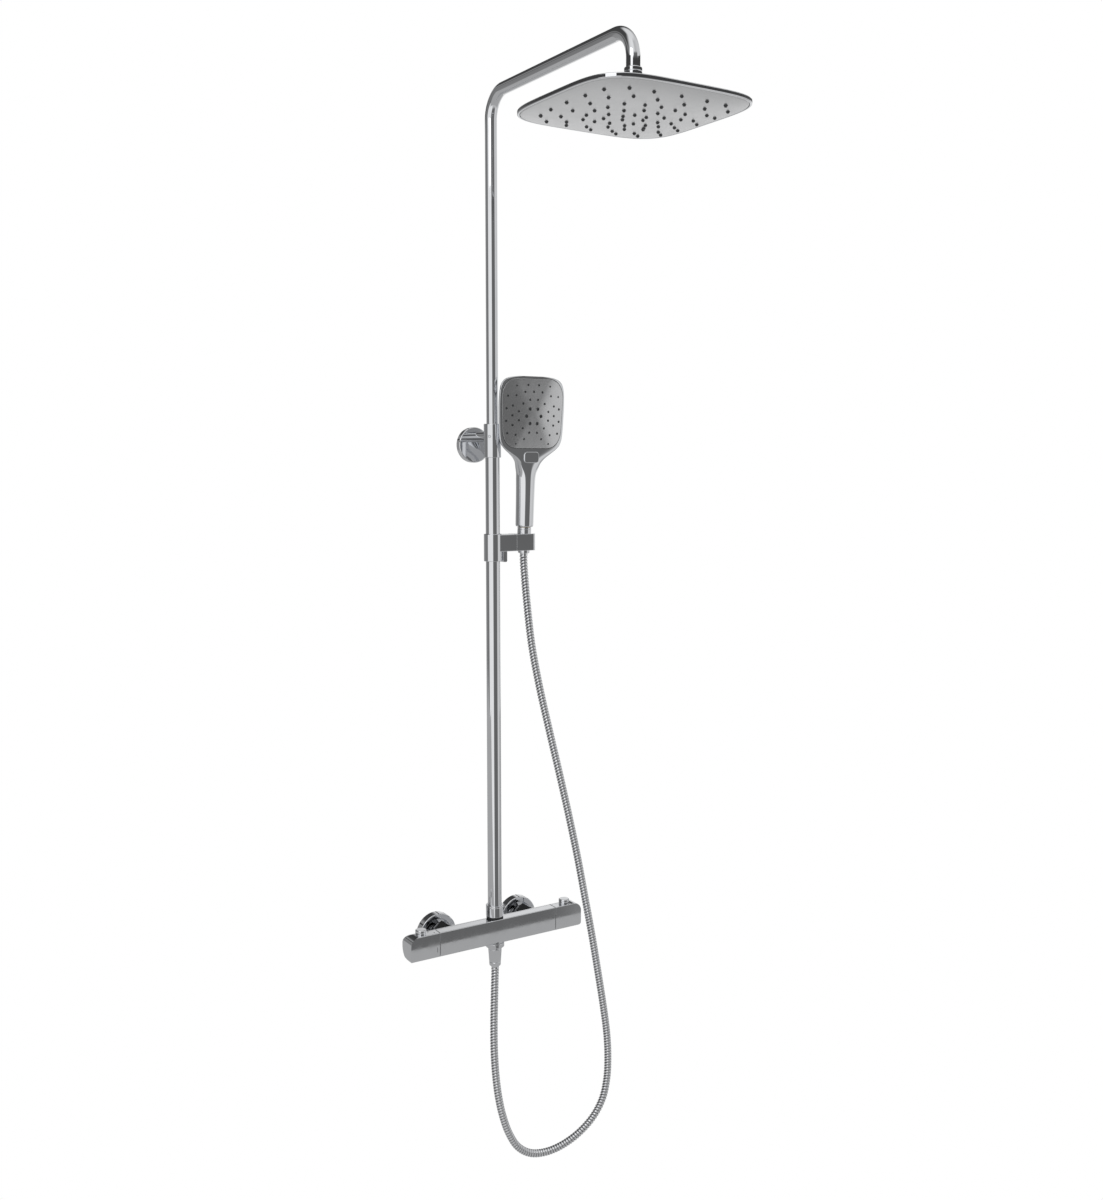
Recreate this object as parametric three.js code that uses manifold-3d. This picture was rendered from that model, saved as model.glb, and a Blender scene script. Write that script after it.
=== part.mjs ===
// Rainfall shower column: a thermostatic bar mixer, a telescopic riser with an overhead
// spray head, and a hand shower with its hose in a sliding holder.
// Millimetres, +Z up, +Y into the wall. The origin lies on the finished wall, midway
// between the two inlets and level with the mixer's axis.
import * as THREE from 'three';
import { mergeVertices } from 'three/addons/utils/BufferGeometryUtils.js';
import { ParametricGeometry } from 'three/addons/geometries/ParametricGeometry.js';
import Module from 'manifold-3d';

const wasm = await Module();
wasm.setup();

// ---- driving dimensions -------------------------------------------------------------
const GAP = 0.3;                  // running gap between neighbouring pieces
const FACETS = 16;                // sides of an ordinary round piece
const FINE_FACETS = 24;           // sides of a wide round piece

const WALL_TO_COLUMN = 65;        // finished wall to the column's axis
const INLET_SPACING = 150;        // hot to cold, centre to centre
const THREAD_DROP = 8;            // wall threads lie this far below the mixer's axis

const MIXER_HEIGHT = 40;
const MIXER_FRONT = 15;           // front face ahead of the column's axis
const MIXER_BACK = 16;            // back of the bar behind the column's axis
const MIXER_BACK_RADIUS = 15;     // upper back edge
const MIXER_BELLY_RADIUS = 21;    // lower back edge
const MIXER_FRONT_RADIUS = 7;     // lower front edge
const BODY_LENGTH = 210.4;
const HANDLE_LENGTH = 49.4;
const HANDLE_END_RADIUS = 14;     // upper outer end
const CARTRIDGE_BORE = 12.3;      // radius
const CARTRIDGE_DEPTH = 46;
const SPINDLE_RADIUS = 4;
const HANDLE_CUP_RADIUS = 14;
const HANDLE_CUP_DEPTH = 15;
const BUTTON_RADIUS = 8.6;
const BUTTON_RISE = 6.2;          // top of the button above the handle
const BUTTON_FROM_SEAM = 26;
const BUTTON_STEM_RADIUS = 3.6;
const SPRING_WELL_RADIUS = 5.6;

const ESCUTCHEON_RADIUS = 32;
const ESCUTCHEON_DEPTH = 14;
const ESCUTCHEON_MOUTH = 24;      // radius of the open front
const INLET_TAIL_RADIUS = 10;
const UNION_THREAD = 12.8;        // radius, three-quarter inch
const WALL_THREAD = 10.45;        // radius, half inch
const WALL_THREAD_LENGTH = 18;
const NUT_FLATS = 30;             // across flats

const RISER_RADIUS = 9;
const RISER_WALL = 1;
const RISER_BOTTOM = 600;
const ARM_HEIGHT = 1285;
const ARM_REACH = 360;            // column's axis to the spray head's axis
const BEND_RADIUS = 38;
const ARM_END = ARM_HEIGHT - 50;  // lower end of the short down-turned leg

const LOWER_TUBE_RADIUS = RISER_RADIUS + 2;
const LOWER_TUBE_WALL = 1.2;
const LOWER_TUBE_TOP = 788;
const COLUMN_NUT_RADIUS = LOWER_TUBE_RADIUS + 3;
const COLUMN_NUT_RISE = 21.5;     // top of the nut above the mixer
const GASKET_HEIGHT = 2.6;

const COLLAR_RADIUS = LOWER_TUBE_RADIUS + 2.25;
const COLLAR_BOTTOM = LOWER_TUBE_TOP - 40;
const COLLAR_TOP = LOWER_TUBE_TOP + 11;
const GRUB_SCREW_RADIUS = 2;
const BRACKET_ARM_RADIUS = 8;
const BRACKET_ARM_HEIGHT = LOWER_TUBE_TOP - 8;
const FLANGE_RADIUS = 27.5;
const FLANGE_DEPTH = 10;
const FLANGE_DROP = 12.4;         // the flange's centre lies this far below its arm
const WALL_SCREW_RADIUS = 2.3;

const BALL_RADIUS = 7.8;
const BALL_HEIGHT = ARM_END - 22;
const SWIVEL_NUT_RADIUS = 11.4;
const HEAD_HALF_WIDTH = 123;
const HEAD_SQUARENESS = 4.5;        // exponent of the outline, 2 is round
const HEAD_TOP = BALL_HEIGHT - 20;
const HEAD_RIM_TOP = HEAD_TOP - 5;
const HEAD_SLOPE = 40;            // width of the sloping band inside the rim
const HEAD_BOTTOM = HEAD_TOP - 10.4;
const HEAD_WALL = 2.4;
const FACE_THICKNESS = 2.4;

const OUTLET_COLLAR_RADIUS = 14.8;
const OUTLET_THREAD = 9;          // radius of the hose thread
const HOSE_NUT_LENGTH = 30.7;
const HOSE_NUT_WIDE = 10.75;
const HOSE_NUT_NARROW = 9;
const HOSE_RADIUS = 6.25;

const SLIDER_BOTTOM = 589;
const SLIDER_TOP = SLIDER_BOTTOM + 42;
const LINER_RADIUS = LOWER_TUBE_RADIUS + 1.6;
const SLEEVE_RADIUS = LOWER_TUBE_RADIUS + 3;
const BLOCK_HEIGHT = 26;
const BLOCK_HALF_DEPTH = 13.2;
const HOLDER_OFFSET = 56;         // column's axis to the hand shower's axis
const CRADLE_LENGTH = 34.6;
const BLOCK_END = HOLDER_OFFSET + 14.2 - CRADLE_LENGTH - 0.4;   // the turning cradle starts here
const PIVOT_SCREW_RADIUS = 3;
const LEVER_OFFSET = LOWER_TUBE_RADIUS + 8;    // column's axis to the lock lever's pin
const LEVER_EYE_RADIUS = 3.7;
const LEVER_PIN_RADIUS = 1.5;
const HANDSET_LEAN = 3;           // degrees forward

const HANDSET_LENGTH = 231;
const HANDLE_RADIUS = 13.9;
const HANDSET_HALF_WIDTH = 58;
const HANDSET_FRONT = 15.5;       // front face ahead of the handle's axis
const FACE_INSET = 3.4;           // rim left round the spray face

// ---- finishes -----------------------------------------------------------------------
const finish = (color, roughness, metalness) => () =>
  new THREE.MeshStandardMaterial({ color, roughness, metalness });
const chrome = finish(0xc8cbd0, 0.07, 1);
const satin = finish(0xb9bcc0, 0.35, 0.8);
const brass = finish(0xb08d4a, 0.35, 1);
const steel = finish(0x9a9da1, 0.3, 1);
const rubber = finish(0x33363a, 0.8, 0);
const nylon = finish(0x55585c, 0.6, 0);
const whiteNylon = finish(0xd8dadb, 0.5, 0);

// ---- shapes -------------------------------------------------------------------------
// A closed geometry as a solid: corners merged, slivers left out, faces turned outward.
function solid(geometry) {
  const bare = geometry.clone();
  bare.deleteAttribute('normal');
  bare.deleteAttribute('uv');
  const merged = mergeVertices(bare, 1e-4);
  const place = merged.attributes.position;
  const corners = merged.index.array;
  const triangles = [];
  let volume = 0;
  const a = new THREE.Vector3();
  const b = new THREE.Vector3();
  const c = new THREE.Vector3();
  for (let i = 0; i < corners.length; i += 3) {
    const [p, q, r] = corners.slice(i, i + 3);
    if (p === q || q === r || r === p) continue;
    triangles.push(p, q, r);
    a.fromBufferAttribute(place, p);
    b.fromBufferAttribute(place, q);
    c.fromBufferAttribute(place, r);
    volume += a.dot(b.cross(c));
  }
  if (volume < 0) triangles.reverse();
  const vertProperties = new Float32Array(place.array);
  const triVerts = new Uint32Array(triangles);
  return new wasm.Manifold(new wasm.Mesh({ numProp: 3, vertProperties, triVerts }));
}

function geometryOf(manifold) {
  const mesh = manifold.getMesh();
  const geometry = new THREE.BufferGeometry();
  geometry.setAttribute('position', new THREE.BufferAttribute(mesh.vertProperties, 3));
  geometry.setIndex(new THREE.BufferAttribute(mesh.triVerts, 1));
  return geometry;
}

function cut(body, ...tools) {
  return geometryOf(tools.reduce((rest, tool) => rest.subtract(solid(tool)), solid(body)));
}

function join(first, ...others) {
  return geometryOf(others.reduce((sum, other) => sum.add(solid(other)), solid(first)));
}

function common(first, ...others) {
  return geometryOf(others.reduce((part, other) => part.intersect(solid(other)), solid(first)));
}

// A profile of [radius, height] points turned about Z, run anticlockwise so it faces out.
function turned(profile, facets = FACETS) {
  const points = profile.map(([radius, height]) => new THREE.Vector2(radius, height));
  if (THREE.ShapeUtils.area(points) < 0) points.reverse();
  return new THREE.LatheGeometry(points, facets).rotateX(Math.PI / 2);
}

function rod(radius, low, high, facets = FACETS) {
  return turned([[0, low], [radius, low], [radius, high], [0, high]], facets);
}

function ring(inner, outer, low, high, facets = FACETS) {
  return turned([[inner, low], [outer, low], [outer, high], [inner, high], [inner, low]], facets);
}

// A piece made along Z, laid so that its +Z points along +X or +Y.
const alongX = (geometry) => geometry.rotateY(Math.PI / 2);
const alongY = (geometry) => geometry.rotateX(-Math.PI / 2);

function block(low, high) {
  const size = high.map((value, i) => value - low[i]);
  const middle = high.map((value, i) => (value + low[i]) / 2);
  return new THREE.BoxGeometry(...size).translate(...middle);
}

function prism(shape, low, high, curveSegments = 5) {
  const depth = high - low;
  const geometry = new THREE.ExtrudeGeometry(shape, { depth, bevelEnabled: false, curveSegments });
  return geometry.translate(0, 0, low);
}

function hexagon(flats, low, high) {
  return turned([[0, low], [flats / Math.sqrt(3), low], [flats / Math.sqrt(3), high], [0, high]], 6);
}

function roundedRectangle(width, height, radius) {
  const x = width / 2;
  const y = height / 2;
  const shape = new THREE.Shape();
  shape.moveTo(-x + radius, -y);
  shape.lineTo(x - radius, -y);
  shape.absarc(x - radius, -y + radius, radius, -Math.PI / 2, 0, false);
  shape.absarc(x - radius, y - radius, radius, 0, Math.PI / 2, false);
  shape.absarc(-x + radius, y - radius, radius, Math.PI / 2, Math.PI, false);
  shape.absarc(-x + radius, -y + radius, radius, Math.PI, Math.PI * 1.5, false);
  return shape;
}

// A coil spring of flat-ended wire standing on Z.
function coil(radius, wire, low, high, turns) {
  class Helix extends THREE.Curve {
    getPoint(t, target = new THREE.Vector3()) {
      const turn = t * turns * 2 * Math.PI;
      const height = low + wire + t * (high - low - 2 * wire);
      return target.set(radius * Math.cos(turn), radius * Math.sin(turn), height);
    }
  }
  const section = new THREE.Shape().absarc(0, 0, wire, 0, 2 * Math.PI, false);
  const options = { extrudePath: new Helix(), steps: turns * 8, curveSegments: 2 };
  return new THREE.ExtrudeGeometry(section, options);
}

// A tube whose axis is a chain of points with their directions, one step per point.
class Route extends THREE.Curve {
  constructor(points, tangents) {
    super();
    this.points = points;
    this.tangents = tangents;
  }
  at(u) {
    return Math.round(u * (this.points.length - 1));
  }
  getPointAt(u, target = new THREE.Vector3()) {
    return target.copy(this.points[this.at(u)]);
  }
  getTangentAt(u, target = new THREE.Vector3()) {
    return target.copy(this.tangents[this.at(u)]);
  }
}

// ---- assembly -----------------------------------------------------------------------
const showerColumn = new THREE.Group();
showerColumn.name = 'shower_column';

function group(parent, x, y, z) {
  const made = new THREE.Group();
  made.position.set(x, y, z);
  parent.add(made);
  return made;
}

function piece(parent, name, geometry, material, x = 0, y = 0, z = 0) {
  const mesh = new THREE.Mesh(geometry, material());
  mesh.name = name;
  mesh.position.set(x, y, z);
  parent.add(mesh);
}

// Everything on the column is drawn about the column's own axis.
const column = group(showerColumn, 0, -WALL_TO_COLUMN, 0);
const SIDES = [{ side: 'left', sign: -1 }, { side: 'right', sign: 1 }];

// ---- mixer bar: D section with a flat front and top, drawn in Y and Z -----------------
const mixerTop = MIXER_HEIGHT / 2;

function barSection() {
  const low = -mixerTop;
  const shape = new THREE.Shape();
  shape.moveTo(-MIXER_FRONT, mixerTop - 1);
  shape.lineTo(-MIXER_FRONT, low + MIXER_FRONT_RADIUS);
  shape.absarc(-MIXER_FRONT + MIXER_FRONT_RADIUS, low + MIXER_FRONT_RADIUS,
    MIXER_FRONT_RADIUS, Math.PI, Math.PI * 1.5, false);
  shape.lineTo(MIXER_BACK - MIXER_BELLY_RADIUS, low);
  shape.absarc(MIXER_BACK - MIXER_BELLY_RADIUS, low + MIXER_BELLY_RADIUS,
    MIXER_BELLY_RADIUS, -Math.PI / 2, 0, false);
  shape.absarc(MIXER_BACK - MIXER_BACK_RADIUS, mixerTop - MIXER_BACK_RADIUS,
    MIXER_BACK_RADIUS, 0, Math.PI / 2, false);
  shape.lineTo(-MIXER_FRONT + 1, mixerTop);
  return shape;
}

// Shape x to Y, shape y to Z, extrusion to X.
function bar(from, to) {
  const basis = new THREE.Matrix4().set(0, 0, 1, 0, 1, 0, 0, 0, 0, 1, 0, 0, 0, 0, 0, 1);
  return prism(barSection(), from, to).applyMatrix4(basis);
}

const bodyEnd = BODY_LENGTH / 2;
const tailBack = MIXER_BACK + 13;           // end of the inlet tails behind the bar
const NIPPLE_RADIUS = LOWER_TUBE_RADIUS - LOWER_TUBE_WALL - GAP;
const WATERWAY = 6;
const tubeBottom = mixerTop + GAP + GASKET_HEIGHT + GAP;

// Two round bosses fill out the rounded back, under the column and over the hose outlet.
function mixerBody() {
  const parts = [bar(-bodyEnd, bodyEnd), rod(NIPPLE_RADIUS, mixerTop - 2, tubeBottom + 14),
    rod(COLUMN_NUT_RADIUS - 0.6, 0, mixerTop, FINE_FACETS),
    rod(OUTLET_COLLAR_RADIUS - 0.6, -mixerTop, 0, FINE_FACETS)];
  const bores = [rod(WATERWAY, 0, tubeBottom + 20), rod(WATERWAY, -mixerTop - 2, 1)];
  for (const { sign } of SIDES) {
    const inlet = sign * INLET_SPACING / 2;
    parts.push(alongY(rod(INLET_TAIL_RADIUS, MIXER_BACK - 6, tailBack)).translate(inlet, 0, 0));
    bores.push(alongY(rod(WATERWAY, 0, tailBack + 1)).translate(inlet, 0, 0));
    const bore = alongX(rod(CARTRIDGE_BORE, bodyEnd - CARTRIDGE_DEPTH, bodyEnd + 1));
    bores.push(sign > 0 ? bore : bore.rotateZ(Math.PI));
  }
  bores.push(alongX(rod(WATERWAY, -bodyEnd + 20, bodyEnd - 20)));
  bores.push(rod(WALL_THREAD, -mixerTop - 1, -mixerTop + 12));
  return cut(join(...parts), ...bores);
}
piece(column, 'mixer_body', mixerBody(), chrome);

// Cartridges: a turned valve in each end of the bar, its spindle out into the handle.
function cartridge(length) {
  const seat = bodyEnd - GAP;
  return turned([[0, seat - length], [9, seat - length], [9, seat - length + 12],
    [CARTRIDGE_BORE - GAP, seat - length + 12], [CARTRIDGE_BORE - GAP, seat + 3],
    [8, seat + 3], [8, seat + 7], [SPINDLE_RADIUS, seat + 7],
    [SPINDLE_RADIUS, seat + 22], [0, seat + 22]]);
}
piece(column, 'thermostatic_cartridge', alongX(cartridge(44)).rotateZ(Math.PI), brass);
piece(column, 'flow_cartridge', alongX(cartridge(38)), brass);

// Stop rings: printed rings round each cartridge that limit how far the handle turns.
function stopRing() {
  const low = bodyEnd + GAP;
  const washer = ring(CARTRIDGE_BORE, HANDLE_CUP_RADIUS - 2 * GAP, low, low + 2);
  const inner = CARTRIDGE_BORE - 1;
  return cut(washer, block([-2, inner - 3, low - 1], [2, inner + 1.6, low + 3]));
}

// ---- handles and their push buttons ---------------------------------------------------
const handleStart = bodyEnd + 2 * GAP;
const handleEnd = handleStart + HANDLE_LENGTH;
const buttonX = bodyEnd + BUTTON_FROM_SEAM;
const capBottom = mixerTop - 1;
const wellFloor = mixerTop - 4;
const springFloor = mixerTop - 10.5;

// Side view of a handle in X and Z, with its upper outer end rounded off.
function handleSideView() {
  const shape = new THREE.Shape();
  shape.moveTo(handleStart, -mixerTop - 1);
  shape.lineTo(handleEnd - 3, -mixerTop - 1);
  shape.quadraticCurveTo(handleEnd - 0.4, -mixerTop + 1, handleEnd, -mixerTop + 5);
  shape.lineTo(handleEnd, mixerTop - HANDLE_END_RADIUS);
  shape.absarc(handleEnd - HANDLE_END_RADIUS, mixerTop - HANDLE_END_RADIUS,
    HANDLE_END_RADIUS, 0, Math.PI / 2, false);
  shape.lineTo(handleEnd - HANDLE_END_RADIUS, mixerTop + 1);
  shape.lineTo(handleStart, mixerTop + 1);
  return shape;
}

function handle() {
  const sideView = alongY(prism(handleSideView(), -40, 40)).scale(1, 1, -1);
  const body = common(bar(handleStart, handleEnd), sideView);
  const cup = alongX(rod(HANDLE_CUP_RADIUS, handleStart - 1, handleStart + HANDLE_CUP_DEPTH));
  const socket = alongX(rod(SPINDLE_RADIUS + GAP, handleStart, bodyEnd + 23));
  const well = rod(BUTTON_RADIUS + GAP, wellFloor, mixerTop + 5).translate(buttonX, 0, 0);
  const springWell = rod(SPRING_WELL_RADIUS, springFloor, mixerTop).translate(buttonX, 0, 0);
  return cut(body, cup, socket, well, springWell);
}

function button() {
  const top = mixerTop + BUTTON_RISE;
  return turned([[0, capBottom - 4.5], [BUTTON_STEM_RADIUS, capBottom - 4.5],
    [BUTTON_STEM_RADIUS, capBottom], [BUTTON_RADIUS, capBottom], [BUTTON_RADIUS, top - 2],
    [BUTTON_RADIUS - 1.6, top - 0.4], [BUTTON_RADIUS - 3.5, top], [0, top]]);
}
const buttonSpring = () => coil(4.6, 0.5, springFloor + GAP, capBottom - GAP, 4);

const HANDLES = [
  { handleName: 'temperature_handle', buttonName: 'safety_button', stop: 'temperature_stop_ring' },
  { handleName: 'flow_handle', buttonName: 'eco_button', stop: 'flow_stop_ring' },
];
HANDLES.forEach(({ handleName, buttonName, stop }, i) => {
  const end = group(column, 0, 0, 0);
  const sign = SIDES[i].sign;
  const mirrored = (geometry) => (sign > 0 ? geometry : geometryOf(solid(geometry.scale(-1, 1, 1))));
  piece(end, handleName, mirrored(handle()), chrome);
  piece(end, buttonName, button(), chrome, sign * buttonX);
  piece(end, `${buttonName}_spring`, buttonSpring(), steel, sign * buttonX);
  piece(end, stop, mirrored(alongX(stopRing())), nylon);
});

// ---- wall connections -----------------------------------------------------------------
// Seen from the column's axis the wall face is at +WALL_TO_COLUMN; these are drawn along Y.
const unionFront = tailBack - 10;
const unionBack = unionFront + 20;
const eccentricFront = tailBack + 3;
const eccentricStep = WALL_TO_COLUMN - ESCUTCHEON_DEPTH - 5;

function unionNut() {
  const nut = hexagon(NUT_FLATS, unionFront, unionBack);
  const throat = rod(INLET_TAIL_RADIUS + GAP, unionFront - 1, unionBack);
  const thread = rod(UNION_THREAD + GAP, tailBack - 2, unionBack + 1);
  return alongY(cut(nut, throat, thread));
}

function eccentric() {
  const half = THREAD_DROP / 2;
  const wallEnd = WALL_TO_COLUMN + WALL_THREAD_LENGTH;
  const front = alongY(rod(UNION_THREAD, eccentricFront, eccentricStep));
  const middle = alongY(rod(14.5, eccentricStep - 1, eccentricStep + 4)).translate(0, 0, -half);
  const back = alongY(rod(WALL_THREAD, eccentricStep, wallEnd)).translate(0, 0, -THREAD_DROP);
  const frontBore = alongY(rod(7, eccentricFront - 1, eccentricStep + 2));
  const backBore = alongY(rod(WATERWAY, eccentricStep - 2, wallEnd + 1));
  return cut(join(front, middle, back), frontBore, backBore.translate(0, 0, -THREAD_DROP));
}

function escutcheon() {
  const back = WALL_TO_COLUMN;
  const front = back - ESCUTCHEON_DEPTH;
  const profile = [[WALL_THREAD + GAP, back - 2], [WALL_THREAD + GAP, back],
    [ESCUTCHEON_RADIUS, back], [ESCUTCHEON_RADIUS, front + 2], [ESCUTCHEON_RADIUS - 2, front],
    [ESCUTCHEON_MOUTH, front], [ESCUTCHEON_MOUTH - 1, front + 1],
    [ESCUTCHEON_MOUTH - 1, back - 2], [WALL_THREAD + GAP, back - 2]];
  return alongY(turned(profile, FINE_FACETS));
}

const inletFilter = () => alongY(ring(7, UNION_THREAD - 1, tailBack + GAP, eccentricFront - GAP));

for (const { side, sign } of SIDES) {
  const inlet = group(column, sign * INLET_SPACING / 2, 0, 0);
  piece(inlet, `union_nut_${side}`, unionNut(), chrome);
  piece(inlet, `inlet_filter_${side}`, inletFilter(), rubber);
  piece(inlet, `eccentric_union_${side}`, eccentric(), brass);
  piece(inlet, `escutcheon_${side}`, escutcheon(), chrome, 0, 0, -THREAD_DROP);
}

// ---- lower tube and its nut -----------------------------------------------------------
const tubeBore = LOWER_TUBE_RADIUS - LOWER_TUBE_WALL;
const gasketTop = mixerTop + GAP + GASKET_HEIGHT;
const columnNutTop = mixerTop + COLUMN_NUT_RISE;
piece(column, 'column_gasket', ring(LOWER_TUBE_RADIUS, COLUMN_NUT_RADIUS - 0.6, mixerTop + GAP,
  gasketTop), rubber);
piece(column, 'column_nut', turned([[LOWER_TUBE_RADIUS + GAP, gasketTop + GAP],
  [COLUMN_NUT_RADIUS, gasketTop + GAP], [COLUMN_NUT_RADIUS, columnNutTop - 1],
  [COLUMN_NUT_RADIUS - 1, columnNutTop], [LOWER_TUBE_RADIUS + GAP, columnNutTop],
  [LOWER_TUBE_RADIUS + GAP, gasketTop + GAP]]), chrome);
piece(column, 'lower_tube', ring(tubeBore, LOWER_TUBE_RADIUS, tubeBottom, LOWER_TUBE_TOP), chrome);

// ---- wall bracket ---------------------------------------------------------------------
const collarBore = LOWER_TUBE_RADIUS + GAP;
const collarLip = COLLAR_TOP - 2;
const grubTurn = -140 * Math.PI / 180;      // faces forward and to the left
const grubPlace = (geometry) => alongX(geometry).rotateZ(grubTurn).translate(0, 0, BRACKET_ARM_HEIGHT);

function collar() {
  const profile = [[collarBore, COLLAR_BOTTOM], [COLLAR_RADIUS - 0.6, COLLAR_BOTTOM],
    [COLLAR_RADIUS, COLLAR_BOTTOM + 0.6], [COLLAR_RADIUS, COLLAR_TOP - 0.6],
    [COLLAR_RADIUS - 0.6, COLLAR_TOP], [RISER_RADIUS + 2 * GAP, COLLAR_TOP],
    [RISER_RADIUS + 2 * GAP, collarLip], [collarBore, collarLip], [collarBore, COLLAR_BOTTOM]];
  const screwHole = rod(GRUB_SCREW_RADIUS + 0.4, RISER_RADIUS, COLLAR_RADIUS + 3, 8);
  return cut(turned(profile, FINE_FACETS), grubPlace(screwHole));
}
piece(column, 'bracket_collar', collar(), chrome);
piece(column, 'telescope_bush', ring(RISER_RADIUS + GAP, LOWER_TUBE_RADIUS, LOWER_TUBE_TOP + GAP,
  collarLip - GAP), nylon);
piece(column, 'bracket_grub_screw', grubPlace(rod(GRUB_SCREW_RADIUS,
  LOWER_TUBE_RADIUS + GAP + 0.05, COLLAR_RADIUS - 0.3, 8)), steel);

const plateThickness = 3;
function bracketArm() {
  const arm = alongY(rod(BRACKET_ARM_RADIUS, 10, WALL_TO_COLUMN - plateThickness - GAP));
  arm.translate(0, 0, BRACKET_ARM_HEIGHT);
  const clearance = rod(COLLAR_RADIUS + GAP, COLLAR_BOTTOM, COLLAR_TOP, FINE_FACETS);
  return cut(arm, clearance);
}
piece(column, 'bracket_arm', bracketArm(), chrome);

function bracketCover() {
  const back = WALL_TO_COLUMN;
  const front = back - FLANGE_DEPTH;
  const cup = turned([[0, front], [FLANGE_RADIUS - 1.5, front], [FLANGE_RADIUS, front + 1.5],
    [FLANGE_RADIUS, back], [FLANGE_RADIUS - 1.6, back], [FLANGE_RADIUS - 1.6, front + 2],
    [0, front + 2]], FINE_FACETS);
  const armHole = rod(BRACKET_ARM_RADIUS + GAP, front - 1, back).translate(0, -FLANGE_DROP, 0);
  return alongY(cut(cup, armHole));
}
const flange = group(column, 0, 0, BRACKET_ARM_HEIGHT - FLANGE_DROP);
piece(flange, 'bracket_cover', bracketCover(), chrome);

const screwDrop = 9;
function wallPlate() {
  const plate = rod(FLANGE_RADIUS - 2, WALL_TO_COLUMN - plateThickness, WALL_TO_COLUMN);
  const hole = rod(WALL_SCREW_RADIUS + 0.5, WALL_TO_COLUMN - 10, WALL_TO_COLUMN + 1, 12);
  return alongY(cut(plate, hole.translate(0, screwDrop, 0)));
}
piece(flange, 'bracket_wall_plate', wallPlate(), steel);
const screwHead = WALL_TO_COLUMN - plateThickness - GAP;
const wallScrew = () => alongY(turned([[0, screwHead - 2.4],
  [WALL_SCREW_RADIUS + 1.1, screwHead - 2.4], [WALL_SCREW_RADIUS + 2.1, screwHead - 1.2],
  [WALL_SCREW_RADIUS + 2.1, screwHead], [WALL_SCREW_RADIUS, screwHead],
  [WALL_SCREW_RADIUS, screwHead + 32], [0, screwHead + 38]], 12));
piece(flange, 'bracket_wall_screw', wallScrew(), steel, 0, 0, -screwDrop);

// ---- telescopic riser -----------------------------------------------------------------
const riserBore = RISER_RADIUS - RISER_WALL;
const BEND_STEPS = 7;

// Up the column, round a quarter bend, out along the arm, round another and down.
function riserRoute() {
  const points = [];
  const tangents = [];
  const add = (y, z, ty, tz) => {
    points.push(new THREE.Vector3(0, y, z));
    tangents.push(new THREE.Vector3(0, ty, tz).normalize());
  };
  const bend = (y, z, from, turns) => {
    for (let i = 0; i <= turns; i += 1) {
      const angle = from + (Math.PI / 2) * (i / turns);
      add(y + BEND_RADIUS * Math.cos(angle), z + BEND_RADIUS * Math.sin(angle),
        -Math.sin(angle), Math.cos(angle));
    }
  };
  add(0, RISER_BOTTOM, 0, 1);
  bend(-BEND_RADIUS, ARM_HEIGHT - BEND_RADIUS, 0, BEND_STEPS);
  bend(-ARM_REACH + BEND_RADIUS, ARM_HEIGHT - BEND_RADIUS, Math.PI / 2, BEND_STEPS);
  add(-ARM_REACH, ARM_END, 0, -1);
  return new Route(points, tangents);
}

function riser() {
  const section = new THREE.Shape().absarc(0, 0, RISER_RADIUS, 0, 2 * Math.PI, false);
  section.holes.push(new THREE.Path().absarc(0, 0, riserBore, 0, 2 * Math.PI, true));
  const route = riserRoute();
  const options = { extrudePath: route, steps: route.points.length - 1, curveSegments: 8 };
  return geometryOf(solid(new THREE.ExtrudeGeometry(section, options)));
}
piece(column, 'upper_riser', riser(), chrome);

const plugTop = RISER_BOTTOM - GAP;
const plugRim = tubeBore - 1;
const plugCore = tubeBore - 3.3;  // bottom of the groove that holds the seal
piece(column, 'telescope_plug', turned([[4, plugTop - 20], [plugRim, plugTop - 20],
  [plugRim, plugTop - 17], [plugCore, plugTop - 17], [plugCore, plugTop - 3], [plugRim, plugTop - 3],
  [plugRim, plugTop], [riserBore - GAP, plugTop], [riserBore - GAP, plugTop + 14],
  [4, plugTop + 14], [4, plugTop - 20]]), brass);
piece(column, 'telescope_seal', ring(plugCore + GAP, tubeBore - GAP, plugTop - 17 + GAP,
  plugTop - 3 - GAP), rubber);

// ---- ball joint under the arm -----------------------------------------------------------
const head = group(column, 0, -ARM_REACH, 0);
const nippleThread = SWIVEL_NUT_RADIUS - 2.3;
const seatLow = BALL_HEIGHT + 3.4;
const seatHigh = BALL_HEIGHT + 8.6;
const nutLow = BALL_HEIGHT - 5;
const ball = (radius) => new THREE.SphereGeometry(radius, 16, 10).rotateX(Math.PI / 2)
  .translate(0, 0, BALL_HEIGHT);

piece(head, 'arm_end_nipple', turned([[4, seatHigh + GAP], [nippleThread, seatHigh + GAP],
  [nippleThread, ARM_END - GAP], [riserBore - GAP, ARM_END - GAP],
  [riserBore - GAP, ARM_END + 12], [4, ARM_END + 12], [4, seatHigh + GAP]]), brass);

function swivelNut() {
  const outer = turned([[0, nutLow], [SWIVEL_NUT_RADIUS - 1, nutLow],
    [SWIVEL_NUT_RADIUS, nutLow + 1], [SWIVEL_NUT_RADIUS, ARM_END - 1.3],
    [SWIVEL_NUT_RADIUS - 1, ARM_END - GAP], [0, ARM_END - GAP]]);
  const thread = rod(nippleThread + GAP, seatLow - GAP, ARM_END + 1);
  return cut(outer, thread, ball(BALL_RADIUS + 2 * GAP), rod(6.7, nutLow - 1, BALL_HEIGHT));
}
piece(head, 'swivel_nut', swivelNut(), chrome);
piece(head, 'ball_seat', cut(ring(3.5, nippleThread - GAP, seatLow, seatHigh),
  ball(BALL_RADIUS + GAP)), rubber);

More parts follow.
